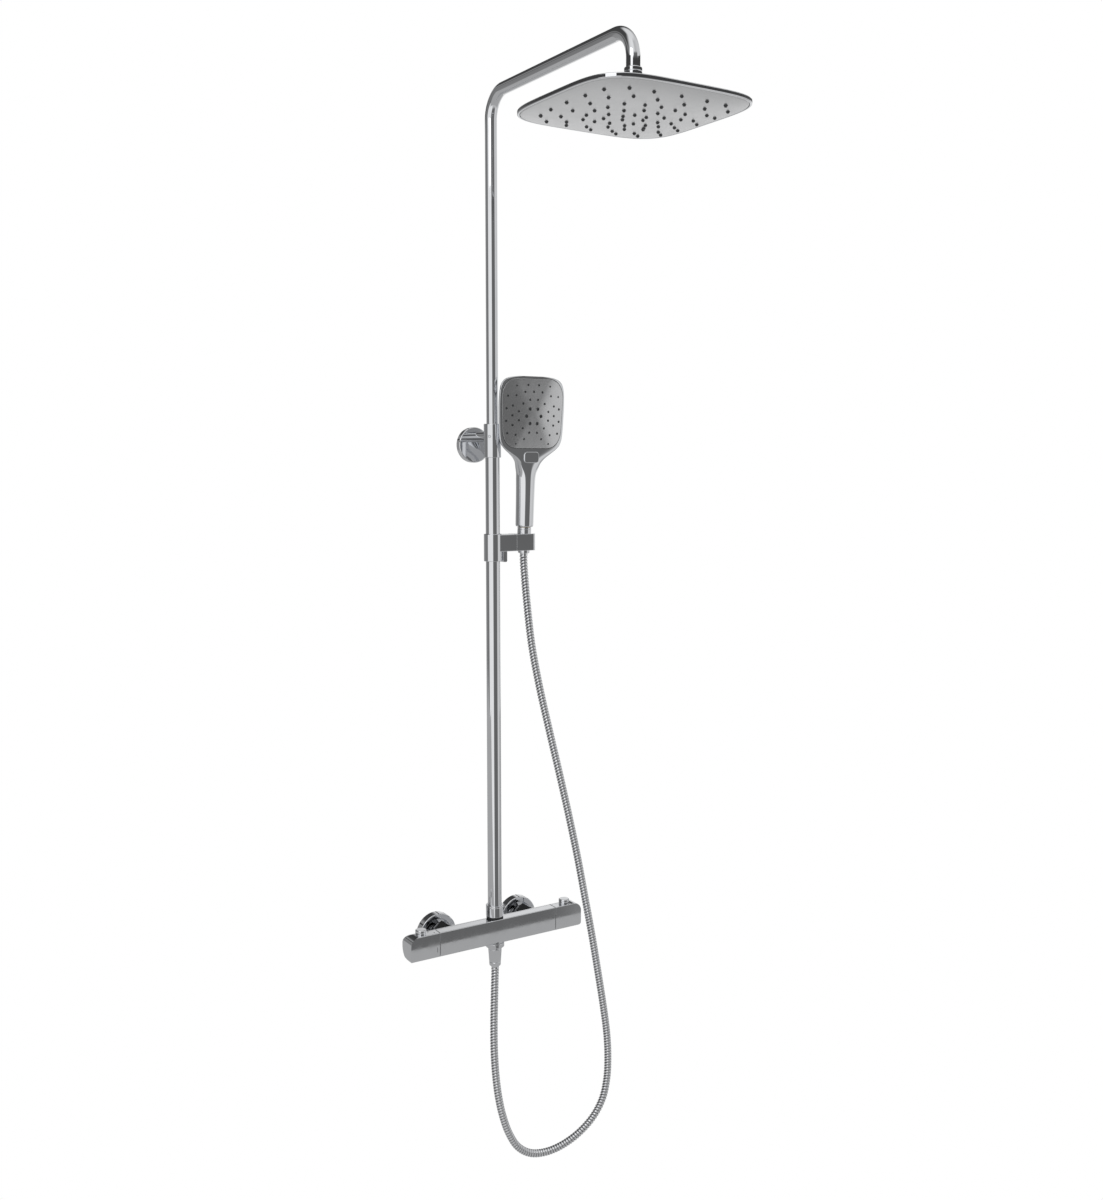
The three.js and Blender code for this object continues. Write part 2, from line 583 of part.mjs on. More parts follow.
const stemRadius = 4;
const hubTop = HEAD_TOP + 8;
const hubBore = 7.2;
function headBall() {
  const stem = rod(stemRadius, HEAD_TOP, BALL_HEIGHT);
  const foot = rod(hubBore - GAP, HEAD_TOP - 5, hubTop);
  return cut(join(ball(BALL_RADIUS), stem, foot), rod(2.4, HEAD_TOP - 8, BALL_HEIGHT + 10, 16));
}
piece(head, 'head_ball', headBall(), brass);

// ---- overhead spray head ----------------------------------------------------------------
// Rounded square outline, |x|^n + |y|^n = w^n.
function headOutline(halfWidth, count = 56) {
  const points = [];
  for (let i = 0; i < count; i += 1) {
    const angle = 2 * Math.PI * (i / count);
    const c = Math.cos(angle);
    const s = Math.sin(angle);
    const reach = (Math.abs(c) ** HEAD_SQUARENESS + Math.abs(s) ** HEAD_SQUARENESS)
      ** (-1 / HEAD_SQUARENESS);
    points.push(new THREE.Vector2(halfWidth * reach * c, halfWidth * reach * s));
  }
  return new THREE.Shape(points);
}

// A flat-bottomed dish with an upright rim, a sloping band inside it and a flat middle.
function dish(halfWidth, low, shoulder, high) {
  const rim = solid(prism(headOutline(halfWidth), low, shoulder));
  const middle = solid(prism(headOutline(halfWidth - HEAD_SLOPE), high - 0.5, high));
  return geometryOf(wasm.Manifold.hull([rim, middle]));
}

function headShell() {
  const outside = dish(HEAD_HALF_WIDTH, HEAD_BOTTOM, HEAD_RIM_TOP, HEAD_TOP);
  const inside = dish(HEAD_HALF_WIDTH - HEAD_WALL, HEAD_BOTTOM - 1, HEAD_RIM_TOP - 1.7,
    HEAD_TOP - HEAD_WALL);
  const hub = rod(11.5, HEAD_TOP - 1, hubTop);
  return cut(join(outside, hub), inside, rod(hubBore, HEAD_BOTTOM, hubTop + 1));
}
piece(head, 'head_shell', headShell(), chrome);

const headInside = HEAD_HALF_WIDTH - HEAD_WALL - GAP;
const headFaceLow = HEAD_BOTTOM - 1.2;
piece(head, 'head_spray_face', prism(headOutline(headInside), headFaceLow,
  headFaceLow + FACE_THICKNESS), satin);
piece(head, 'head_nozzle_mat', prism(headOutline(headInside - 3), headFaceLow + FACE_THICKNESS + GAP,
  headFaceLow + FACE_THICKNESS + 2), rubber);

// ---- hose outlet under the mixer ----------------------------------------------------------
const outletTop = -mixerTop - GAP;
const collarFoot = outletTop - 7.2;
const lowerNutTop = collarFoot - GAP;
piece(column, 'outlet_nipple', turned([[5, collarFoot - 10], [OUTLET_THREAD, collarFoot - 10],
  [OUTLET_THREAD, collarFoot], [OUTLET_COLLAR_RADIUS - 1, collarFoot],
  [OUTLET_COLLAR_RADIUS, collarFoot + 1], [OUTLET_COLLAR_RADIUS, outletTop],
  [WALL_THREAD - GAP, outletTop], [WALL_THREAD - GAP, -mixerTop + 10], [5, -mixerTop + 10],
  [5, collarFoot - 10]]), chrome);

// Conical nut with its top at zero: the thread is above, the hose leaves below.
function hoseNut(straight) {
  const length = HOSE_NUT_LENGTH + straight;
  const thread = OUTLET_THREAD + GAP;
  return turned([[4.5, -length], [HOSE_NUT_NARROW, -length], [HOSE_NUT_WIDE, -straight],
    [HOSE_NUT_WIDE, 0], [thread, 0], [thread, -12], [4.5, -12], [4.5, -length]]);
}
const hoseWasher = () => ring(5, OUTLET_THREAD - GAP, -12 + GAP, -10.6);
const outlet = group(column, 0, 0, lowerNutTop);
piece(outlet, 'hose_nut_lower', hoseNut(0), chrome);
piece(outlet, 'hose_washer_lower', hoseWasher(), rubber);

// ---- sliding holder ---------------------------------------------------------------------
const blockLow = SLIDER_TOP - 1 - BLOCK_HEIGHT;
const blockHigh = SLIDER_TOP - 1;
const seatHeight = (blockLow + blockHigh) / 2;
piece(column, 'slider_liner', ring(LOWER_TUBE_RADIUS + GAP, LINER_RADIUS, SLIDER_BOTTOM + 1,
  SLIDER_TOP - 1), whiteNylon);

const leverPivot = blockLow + 5.2;
const leverWidth = 11;

function sliderBody() {
  const sleeve = rod(SLEEVE_RADIUS, SLIDER_BOTTOM, SLIDER_TOP, FINE_FACETS);
  const arm = block([5, -BLOCK_HALF_DEPTH, blockLow], [BLOCK_END, BLOCK_HALF_DEPTH, blockHigh]);
  const bore = rod(LINER_RADIUS + GAP, SLIDER_BOTTOM - 1, SLIDER_TOP + 1, FINE_FACETS);
  const side = leverWidth / 2 + GAP;
  const slot = block([LEVER_OFFSET - LEVER_EYE_RADIUS - GAP, -side, blockLow - 1],
    [LEVER_OFFSET + 7, side, leverPivot + LEVER_EYE_RADIUS + GAP]);
  const pinHole = alongY(rod(LEVER_PIN_RADIUS + GAP, -leverWidth, leverWidth, 12));
  pinHole.translate(LEVER_OFFSET, 0, leverPivot);
  const screwHole = alongX(rod(PIVOT_SCREW_RADIUS + GAP, BLOCK_END - 8, BLOCK_END + 1, 16));
  return cut(join(sleeve, arm), bore, slot, pinHole, screwHole.translate(0, 0, seatHeight));
}
piece(column, 'slider_body', sliderBody(), chrome);

function lockLever() {
  const side = leverWidth / 2;
  const eye = alongY(rod(LEVER_EYE_RADIUS, -side, side, 20));
  const foot = SLIDER_BOTTOM - 2 - leverPivot;
  const paddle = block([-LEVER_EYE_RADIUS, -side, foot], [LEVER_EYE_RADIUS, side, 0]);
  return cut(join(eye, paddle), alongY(rod(LEVER_PIN_RADIUS + GAP, -side - 1, side + 1, 12)));
}
const lever = group(column, LEVER_OFFSET, 0, leverPivot);
piece(lever, 'lock_lever', lockLever(), chrome);
piece(lever, 'lock_lever_pin', alongY(rod(LEVER_PIN_RADIUS, -10.5, 10.5, 12)), steel);

// ---- cradle that carries the hand shower ----------------------------------------------------
const cradle = group(column, 0, 0, seatHeight);
const cradleStart = BLOCK_END + 0.4;
const lean = HANDSET_LEAN * Math.PI / 180;
const nutAboveSeat = 24;          // top of the upper hose nut above the cradle's middle
const nutStraight = 10;
const nutTaper = (HOSE_NUT_WIDE - HOSE_NUT_NARROW) / HOSE_NUT_LENGTH;

// Radius of the upper nut at a height measured from the cradle's middle.
function nutRadiusAt(height) {
  return HOSE_NUT_WIDE - nutTaper * Math.max(0, nutAboveSeat - nutStraight - height);
}

// Follows the forward lean of the hand shower about the cradle's middle.
const leaning = (geometry) => geometry.rotateX(lean).translate(HOLDER_OFFSET, 0, 0);

function cradleBody() {
  const half = BLOCK_HEIGHT / 2;
  const outline = new THREE.Shape();
  const end = cradleStart + CRADLE_LENGTH;
  outline.moveTo(cradleStart, -BLOCK_HALF_DEPTH);
  outline.lineTo(end - 5, -BLOCK_HALF_DEPTH);
  outline.absarc(end - 5, -BLOCK_HALF_DEPTH + 5, 5, -Math.PI / 2, 0, false);
  outline.lineTo(end, BLOCK_HALF_DEPTH - 5);
  outline.absarc(end - 5, BLOCK_HALF_DEPTH - 5, 5, 0, Math.PI / 2, false);
  outline.lineTo(cradleStart, BLOCK_HALF_DEPTH);
  const body = prism(outline, -half, half);
  const reach = half + 3;
  const bore = leaning(turned([[0, -reach], [nutRadiusAt(-reach) + GAP, -reach],
    [nutRadiusAt(reach) + 2 * GAP, reach], [0, reach]], FINE_FACETS));
  const mouth = block([HOLDER_OFFSET, -HOSE_RADIUS - 1, -half - 1],
    [end + 1, HOSE_RADIUS + 1, half + 1]);
  const screwHole = alongX(rod(PIVOT_SCREW_RADIUS + GAP, cradleStart - 1, cradleStart + 4, 16));
  return cut(body, bore, mouth, screwHole);
}
piece(cradle, 'cradle', cradleBody(), chrome);
piece(cradle, 'cradle_pivot_screw', alongX(rod(PIVOT_SCREW_RADIUS, BLOCK_END - 7.5,
  cradleStart + 3.5, 16)), steel);

// ---- hand shower, drawn standing on the cradle's middle and leant forward --------------------
const handset = group(cradle, HOLDER_OFFSET, 0, 0);
handset.rotation.x = lean;
const handleBottom = nutAboveSeat + GAP;

// Stations up the handset: height, half width, front edge thickness, back depth, drawn
// for a hand shower 231 long and stretched to its length. A section is flat at the front
// and swells to the back, its middle line pushed forward where the handle opens out.
const STATIONS = [
  [0, 0, 0, 0], [0, HANDLE_RADIUS - 1.3, 12.6, 12.6], [2, HANDLE_RADIUS, 13.9, 13.9],
  [45, HANDLE_RADIUS + 0.5, 14.2, 14.2], [80, HANDLE_RADIUS + 1.6, 14.5, 14.5],
  [92, 19, 14.8, 14.9], [99, 21.5, 15, 15.3], [106, 27, 15.3, 15.8], [113, 36, 15.5, 16],
  [120, 45.5, 15.5, 16], [127, 52, 15.5, 15.8], [137, 55.5, 15.5, 15.4], [154, 57, 15.5, 14.6],
  [171, 57.6, 15.5, 13.4], [188, HANDSET_HALF_WIDTH, 15.5, 11.8], [205, 57.4, 15.5, 9.6],
  [217, 55, 15.5, 7.2], [225, 49, 15.5, 5], [229, 39, 15.3, 2.8], [231, 24, 15, 0.5],
  [231, 0, 0, 0],
];
const stretch = HANDSET_LENGTH / 231;
const headStart = 92;
const headFull = 127;

// How far a height has opened from handle (0) to spray head (1).
const opened = (height) => THREE.MathUtils.smoothstep(height, headStart - 20, headFull);

function handsetSkin() {
  const stacks = STATIONS.length - 1;
  const skin = new ParametricGeometry((u, v, target) => {
    const [height, halfWidth, front, back] = STATIONS[Math.round(v * stacks)];
    const open = opened(height);
    const middle = -open * (front - 4);
    const angle = 2 * Math.PI * (u % 1);
    const c = Math.cos(angle);
    const s = Math.sin(angle);
    const faceFlatness = 1 - 0.78 * open;
    const power = s < 0 ? faceFlatness : 1 + 0.7 * open;
    const depth = s < 0 ? front + middle : back - middle;
    const x = halfWidth * Math.sign(c) * Math.abs(c) ** (s < 0 ? faceFlatness : 1);
    target.set(x, middle + depth * Math.sign(s) * Math.abs(s) ** power, height * stretch);
  }, 28, stacks);
  return skin.translate(0, 0, handleBottom);
}

// Front view of the spray face: wide round shoulders drawn in towards the handle.
function faceOutline(inset) {
  const wide = HANDSET_HALF_WIDTH - inset;
  const low = 118.5 * stretch + inset;
  const high = HANDSET_LENGTH - inset;
  const narrow = wide - 3.4;
  const corner = 25;
  const shape = new THREE.Shape();
  shape.moveTo(-narrow + corner, low);
  shape.lineTo(narrow - corner, low);
  shape.quadraticCurveTo(narrow - 3, low, narrow + 1, low + corner);
  shape.lineTo(wide, high - corner - 2);
  shape.quadraticCurveTo(wide - 3, high - 2, wide - corner, high);
  shape.lineTo(-wide + corner, high);
  shape.quadraticCurveTo(-wide + 3, high - 2, -wide, high - corner - 2);
  shape.lineTo(-narrow - 1, low + corner);
  shape.quadraticCurveTo(-narrow + 3, low, -narrow + corner, low);
  return shape;
}

// A plate parallel to the spray face, between two depths ahead of the handle's axis.
function facePlate(inset, nearer, deeper) {
  const plate = prism(faceOutline(inset), deeper, nearer, 5).rotateX(Math.PI / 2);
  return plate.translate(0, 0, handleBottom);
}

const faceDepth = 2.6;
const matDepth = 2;
const chamberDepth = 4;
const buttonHeight = handleBottom + 108 * stretch;
const buttonWidth = 26;
const buttonTall = 17;
const buttonFront = 17.3;
const buttonThickness = 4.8;
const inletBore = 8;

function buttonBlank(width, height, nearer, deeper) {
  const plate = prism(roundedRectangle(width, height, 5), deeper, nearer, 4);
  return plate.rotateX(Math.PI / 2).translate(0, 0, buttonHeight);
}

function handsetShell() {
  const floor = HANDSET_FRONT - faceDepth - GAP;
  const recess = facePlate(FACE_INSET, HANDSET_FRONT + 5, floor - matDepth - GAP);
  const chamber = facePlate(FACE_INSET + 8, HANDSET_FRONT, floor - matDepth - chamberDepth);
  const waterway = rod(5.5, handleBottom - 1, handleBottom + 150 * stretch, 20);
  const inletHole = rod(inletBore, handleBottom - 1, handleBottom + 14);
  const well = buttonBlank(buttonWidth + 2 * GAP, buttonTall + 2 * GAP, 25, buttonFront - 7);
  return cut(handsetSkin(), recess, chamber, waterway, inletHole, well);
}
piece(handset, 'handset_shell', handsetShell(), chrome);
piece(handset, 'handset_spray_face', facePlate(FACE_INSET + GAP, HANDSET_FRONT,
  HANDSET_FRONT - faceDepth), satin);
const matFront = HANDSET_FRONT - faceDepth - GAP;
piece(handset, 'handset_nozzle_mat', facePlate(FACE_INSET + 2, matFront, matFront - matDepth), rubber);
const discFront = matFront - matDepth - GAP;
piece(handset, 'handset_diverter_disc', alongY(rod(26, -discFront, -discFront + 2.4))
  .translate(0, 0, handleBottom + 186 * stretch), nylon);
piece(handset, 'handset_button', buttonBlank(buttonWidth, buttonTall, buttonFront,
  buttonFront - buttonThickness), chrome);
piece(handset, 'handset_inlet', turned([[5, nutAboveSeat - 10], [OUTLET_THREAD, nutAboveSeat - 10],
  [OUTLET_THREAD, nutAboveSeat], [inletBore - GAP, nutAboveSeat],
  [inletBore - GAP, handleBottom + 13], [5, handleBottom + 13], [5, nutAboveSeat - 10]]), brass);

const upperNut = group(handset, 0, 0, nutAboveSeat - 2 * GAP);
piece(upperNut, 'hose_nut_upper', hoseNut(nutStraight), chrome);
piece(upperNut, 'hose_washer_upper', hoseWasher(), rubber);

// ---- hose -------------------------------------------------------------------------------
// The hose hangs in the column's own plane, from the outlet up to the hand shower. Above
// the mixer its points are drawn for a seat 617 high and 56 out, and move with the seat.
const HOSE_POINTS = [
  [-0.4, -80], [-1.5, -115], [-2.6, -160], [-2.2, -205], [0.4, -245], [5, -281],
  [13, -317], [25, -351], [42, -379], [66, -397], [97, -404], [130, -401], [163, -389],
  [191, -369], [210, -342], [219, -308], [221, -270], [218.5, -228], [211, -177],
  [200, -116], [188, -52], [174, 15], [158, 91], [141, 163], [122, 238], [103, 310],
  [84, 385], [70, 452], [61.5, 517], [57.3, 560],
];

function hose() {
  const nutLength = HOSE_NUT_LENGTH + nutStraight;
  const below = nutLength - nutAboveSeat + 3 * GAP;
  const straight = 9;             // the crimped ends leave each nut in line with it
  const down = (distance) => new THREE.Vector3(0, 0, lowerNutTop - HOSE_NUT_LENGTH - distance);
  const up = (distance) => new THREE.Vector3(HOLDER_OFFSET, distance * Math.sin(lean),
    seatHeight - distance * Math.cos(lean));
  const between = HOSE_POINTS.map(([x, z]) => {
    const risen = Math.max(0, z) / 617;
    return new THREE.Vector3(x + risen * (HOLDER_OFFSET - 56), 0, z + risen * (seatHeight - 617));
  });
  const route = new THREE.CatmullRomCurve3([down(GAP), down(GAP + straight), ...between,
    up(below + straight), up(below)]);
  const section = new THREE.Shape().absarc(0, 0, HOSE_RADIUS, 0, 2 * Math.PI, false);
  const options = { extrudePath: route, steps: 52, curveSegments: 4 };
  return geometryOf(solid(new THREE.ExtrudeGeometry(section, options)));
}
piece(column, 'shower_hose', hose(), steel);

export default showerColumn;
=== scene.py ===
"""A rainfall shower column: a thermostatic bar mixer, a telescopic riser with an overhead
spray head, and a hand shower with its metal hose in a sliding holder. Metres, +Z up, +Y into
the wall; sizes in the sections are millimetres and become metres in the mesh."""
import math

import bmesh
import bpy
import numpy as np
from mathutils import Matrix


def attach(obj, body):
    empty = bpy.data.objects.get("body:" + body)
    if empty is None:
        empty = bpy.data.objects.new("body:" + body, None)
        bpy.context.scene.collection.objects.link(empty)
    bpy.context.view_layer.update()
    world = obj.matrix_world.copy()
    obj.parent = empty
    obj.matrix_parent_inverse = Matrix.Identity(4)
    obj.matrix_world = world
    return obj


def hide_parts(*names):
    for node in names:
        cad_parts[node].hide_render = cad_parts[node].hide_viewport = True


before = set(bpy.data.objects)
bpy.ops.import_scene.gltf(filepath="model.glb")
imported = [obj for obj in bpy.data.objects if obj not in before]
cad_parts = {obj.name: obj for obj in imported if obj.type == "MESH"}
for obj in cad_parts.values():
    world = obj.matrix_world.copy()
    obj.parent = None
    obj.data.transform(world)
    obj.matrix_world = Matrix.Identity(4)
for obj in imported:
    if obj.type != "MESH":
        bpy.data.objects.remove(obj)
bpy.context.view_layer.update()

# ---- Studio -------------------------------------------------------------------------------
# A white room: a pale floor under the column, one large soft lamp, and long grey and white
# screens round the walls. The screens are what polished chrome shows as its bands.
camera_data = bpy.data.cameras.new("studio_camera")
camera_data.lens, camera_data.sensor_width = 38.7, 36.0
camera_data.clip_start = 0.05
camera = bpy.data.objects.new("studio_camera", camera_data)
camera.location = (-0.989, -1.792, 0.748)
camera.rotation_euler = (math.radians(83.7), 0, math.radians(-32.4))
scene = bpy.context.scene
scene.collection.objects.link(camera)
scene.camera = camera
scene.view_settings.view_transform = "Standard"


def linear(level):
    """Scene light that chrome, a mirror of 0.86, shows as this grey level of 0 to 255."""
    return float(((level / 255) ** 2.2) / 0.86)


def grey(level):
    """That grey as a colour."""
    return (*[linear(level)] * 3, 1)


WHITE = (1.0, 1.0, 1.0, 1)        # the room as the camera itself sees it


def ramp(tree, source, stops):
    """A ramp of greys over (place, level) stops, fed by a 0 to 1 value."""
    node = tree.nodes.new("ShaderNodeValToRGB")
    elements = node.color_ramp.elements
    while len(elements) < len(stops):
        elements.new(0.5)
    for element, (place, level) in zip(elements, stops):
        element.position = place
        element.color = grey(level)
    tree.links.new(source, node.inputs[0])
    return node.outputs[0]


def sums(tree, operation, *values):
    """One Math node over sockets or numbers."""
    node = tree.nodes.new("ShaderNodeMath")
    node.operation = operation
    for socket, value in zip(node.inputs, values):
        if isinstance(value, (int, float)):
            socket.default_value = value
        else:
            tree.links.new(value, socket)
    return node.outputs[0]


def blended(tree, share, a, b):
    """Colour a where share is 0, b where it is 1."""
    node = tree.nodes.new("ShaderNodeMix")
    node.data_type = "RGBA"
    tree.links.new(share, node.inputs["Factor"])
    for socket, value in ((node.inputs[6], a), (node.inputs[7], b)):
        if isinstance(value, tuple):
            socket.default_value = value
        else:
            tree.links.new(value, socket)
    return node.outputs[2]


room = bpy.data.worlds.new("studio_room")
room.use_nodes = True
scene.world = room
tree = room.node_tree
tree.nodes.clear()
direction = tree.nodes.new("ShaderNodeTexCoord").outputs["Generated"]
parts = tree.nodes.new("ShaderNodeSeparateXYZ")
tree.links.new(direction, parts.inputs[0])
turn = sums(tree, "ARCTAN2", parts.outputs[0], sums(tree, "MULTIPLY", parts.outputs[1], -1.0))
round_room = sums(tree, "MULTIPLY_ADD", turn, 0.5 / math.pi, 0.5)
# Screens round the walls and in the roof, as (bearing in degrees, grey level).
SCREENS = [(-180, 140), (-152, 136), (-146, 118), (-100, 112), (-94, 224), (-31, 228), (-25, 100),
           (33, 98), (38, 200), (74, 196), (80, 182), (98, 190), (104, 216), (150, 210),
           (158, 160), (180, 140)]
wall_bands = ramp(tree, round_room, [((a + 180) / 360, g) for a, g in SCREENS])
ROOF = [(-180, 66), (-110, 70), (-80, 214), (-30, 224), (0, 178), (60, 196), (100, 190), (140, 64),
        (180, 60)]
roof_bands = ramp(tree, round_room, [((a + 180) / 360, g) for a, g in ROOF])
rise = parts.outputs[2]


def between(low, high):
    """0 below one height of the room, in degrees up, 1 above another, smooth between."""
    node = tree.nodes.new("ShaderNodeMapRange")
    node.interpolation_type = "SMOOTHSTEP"
    node.inputs["From Min"].default_value = math.sin(math.radians(low))
    node.inputs["From Max"].default_value = math.sin(math.radians(high))
    tree.links.new(rise, node.inputs["Value"])
    return node.outputs[0]


upper = blended(tree, between(22, 30), wall_bands, roof_bands)
strip = sums(tree, "SUBTRACT", between(13.6, 15), between(17.6, 18.8))
upper = blended(tree, strip, upper, grey(62))
upper = blended(tree, between(55, 75), upper, grey(215))
whole = blended(tree, between(-52, -34), grey(178), upper)
seen = tree.nodes.new("ShaderNodeLightPath").outputs["Is Camera Ray"]
colour = blended(tree, seen, whole, WHITE)
shining = tree.nodes.new("ShaderNodeBackground")
tree.links.new(colour, shining.inputs["Color"])
tree.links.new(shining.outputs[0], tree.nodes.new("ShaderNodeOutputWorld").inputs[0])

FLOOR_REACH, FLOOR_FRONT, FLOOR_LEVEL = 4, -1.14, -0.46
floor_mesh = bpy.data.meshes.new("floor")
floor_mesh.from_pydata([(x, y, FLOOR_LEVEL) for x, y in (
    (-FLOOR_REACH, FLOOR_FRONT), (FLOOR_REACH, FLOOR_FRONT), (FLOOR_REACH, FLOOR_REACH),
    (-FLOOR_REACH, FLOOR_REACH))], [], [(0, 1, 2, 3)])
floor = bpy.data.objects.new("floor", floor_mesh)
scene.collection.objects.link(floor)
paint = bpy.data.materials.new("floor_paint")
paint.use_nodes = True
ftree = paint.node_tree
ftree.nodes.clear()
pale = ftree.nodes.new("ShaderNodeEmission")
looked_at = ftree.nodes.new("ShaderNodeLightPath").outputs["Is Camera Ray"]
tone = blended(ftree, looked_at, grey(160), WHITE)
ftree.links.new(tone, pale.inputs["Color"])
ftree.links.new(pale.outputs[0], ftree.nodes.new("ShaderNodeOutputMaterial").inputs[0])
floor_mesh.materials.append(paint)

lamp_data = bpy.data.lights.new("soft_lamp", "AREA")
lamp_data.shape, lamp_data.size, lamp_data.size_y, lamp_data.energy = "RECTANGLE", 1.4, 1.0, 5
lamp = bpy.data.objects.new("soft_lamp", lamp_data)
lamp.location = (-1.9, -1.5, 2.1)
lamp.rotation_euler = (math.radians(52), 0, math.radians(-52))
scene.collection.objects.link(lamp)

# ---- Hand-shower hose ---------------------------------------------------------------------
# Interlocked strip wound into a tube 12.5 mm across, brass under chrome. It leaves the crimped
# nut under the mixer, hangs in a loop beside the column and rises to the hand shower's nut.
HOSE_RADIUS = 6.25
STRIP_PITCH = 4.8                 # one turn of the wound strip
GROOVE_DEPTH = 1.5
GROOVE_SHADE = 0.9                # how far painted shade darkens the bottom of a groove
ROWS_A_TURN = 7
PLAIN_END = 6                     # the grooves fade out over this length at each end
AXIS_Y = -65.0                    # the column's axis, ahead of the wall
SEAT = np.array([56.0, AXIS_Y, 617.0])
LEAN = math.radians(3)            # the hand shower leans forward on its seat
HOSE_POINTS = [
    (-0.4, -80), (-1.5, -115), (-2.6, -160), (-2.2, -205), (0.4, -245), (5, -281),
    (13, -317), (25, -351), (42, -379), (66, -397), (97, -404), (130, -401), (163, -389),
    (191, -369), (210, -342), (219, -308), (221, -270), (218.5, -228), (211, -177),
    (200, -116), (188, -52), (174, 15), (158, 91), (141, 163), (122, 238), (103, 310),
    (84, 385), (70, 452), (61.5, 517), (57.3, 560)]


def leant(points):
    """Points drawn on the upright hand shower, about its seat: turned forward by the lean
    about the X axis, then moved to the seat."""
    x, y, z = np.moveaxis(np.asarray(points, float), -1, 0)
    c, s = math.cos(LEAN), math.sin(LEAN)
    return np.stack([x, y * c - z * s, y * s + z * c], -1) + SEAT


def smooth_line(points, samples):
    """A line through points, evenly spaced. Each span is a cubic between two points whose
    slopes come from their neighbours over the square roots of the chord lengths."""
    p = np.vstack([2 * points[0] - points[1], points, 2 * points[-1] - points[-2]])
    k = np.concatenate([[0], np.cumsum(np.sqrt(np.linalg.norm(np.diff(p, axis=0), axis=1)))])
    t = np.linspace(0, 1, 40)[:, None]
    p0, p1, p2, p3 = (p[i:len(p) - 3 + i, None, :] for i in range(4))
    k0, k1, k2, k3 = (k[i:len(k) - 3 + i, None, None] for i in range(4))
    u = k1 + (k2 - k1) * t[None]
    a1 = (k1 - u) / (k1 - k0) * p0 + (u - k0) / (k1 - k0) * p1
    a2 = (k2 - u) / (k2 - k1) * p1 + (u - k1) / (k2 - k1) * p2
    a3 = (k3 - u) / (k3 - k2) * p2 + (u - k2) / (k3 - k2) * p3
    b1 = (k2 - u) / (k2 - k0) * a1 + (u - k0) / (k2 - k0) * a2
    b2 = (k3 - u) / (k3 - k1) * a2 + (u - k1) / (k3 - k1) * a3
    line = ((k2 - u) / (k2 - k1) * b1 + (u - k1) / (k2 - k1) * b2).reshape(-1, 3)
    gone = np.concatenate([[0], np.cumsum(np.linalg.norm(np.diff(line, axis=0), axis=1))])
    even = np.linspace(0, gone[-1], samples)
    return np.stack([np.interp(even, gone, line[:, i]) for i in range(3)], -1), gone[-1]


def mesh_of(name, points, faces):
    """A mesh of the faces, which number the points row by row. Points that no face uses are
    left out."""
    used, flat = np.unique(np.concatenate([np.array(f) for f in faces]), return_inverse=True)
    cuts = np.cumsum([len(f) for f in faces])[:-1]
    mesh = bpy.data.meshes.new(name)
    mesh.from_pydata(points.reshape(-1, 3)[used].tolist(), [],
                     [f.tolist() for f in np.split(flat, cuts)])
    return mesh


def piece(name, grid, body, material, replaces=(), angle=34):
    """A mesh from a grid of points, rows by columns, in millimetres. Each row closes on
    itself. A last row equal to the first closes the rows into a loop, a row whose points all
    meet is one point, and a cap closes any other first or last row."""
    grid = np.asarray(grid, float) / 1000
    loop = len(grid) > 3 and np.allclose(grid[0], grid[-1], atol=1e-9)
    grid = grid[:-1] if loop else grid
    rows, columns = grid.shape[:2]
    index = np.arange(rows * columns).reshape(rows, columns)
    pole = np.ptp(grid, axis=1).max(1) < 1e-7
    index[pole] = index[pole, :1]
    across = np.roll(index, -1, 1)
    if loop:
        a, b, c, d = index, across, np.roll(across, -1, 0), np.roll(index, -1, 0)
    else:
        a, b, c, d = index[:-1], across[:-1], across[1:], index[1:]
    quads = np.stack([a, b, c, d], -1).reshape(-1, 4)
    faces = [tuple(dict.fromkeys(q)) for q in quads.tolist()]
    faces = [f for f in faces if len(f) > 2]
    if not loop:
        faces += [] if pole[0] else [tuple(index[0][::-1].tolist())]
        faces += [] if pole[-1] else [tuple(index[-1].tolist())]
    return finished(name, mesh_of(name, grid, faces), body, material, replaces, angle)


def finished(name, mesh, body, material, replaces=(), angle=34):
    """Turns faces outward, shades smooth up to an angle, and seats the piece on its body."""
    work = bmesh.new()
    work.from_mesh(mesh)
    bmesh.ops.recalc_face_normals(work, faces=work.faces)
    if work.calc_volume(signed=True) < 0:
        bmesh.ops.reverse_faces(work, faces=work.faces)
    work.to_mesh(mesh)
    work.free()
    mesh.shade_smooth()
    mesh.set_sharp_from_angle(angle=math.radians(angle))
    mesh.materials.append(material)
    made = bpy.data.objects.new(name, mesh)
    scene.collection.objects.link(made)
    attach(made, body)
    if replaces:
        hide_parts(*([replaces] if isinstance(replaces, str) else replaces))
    return made


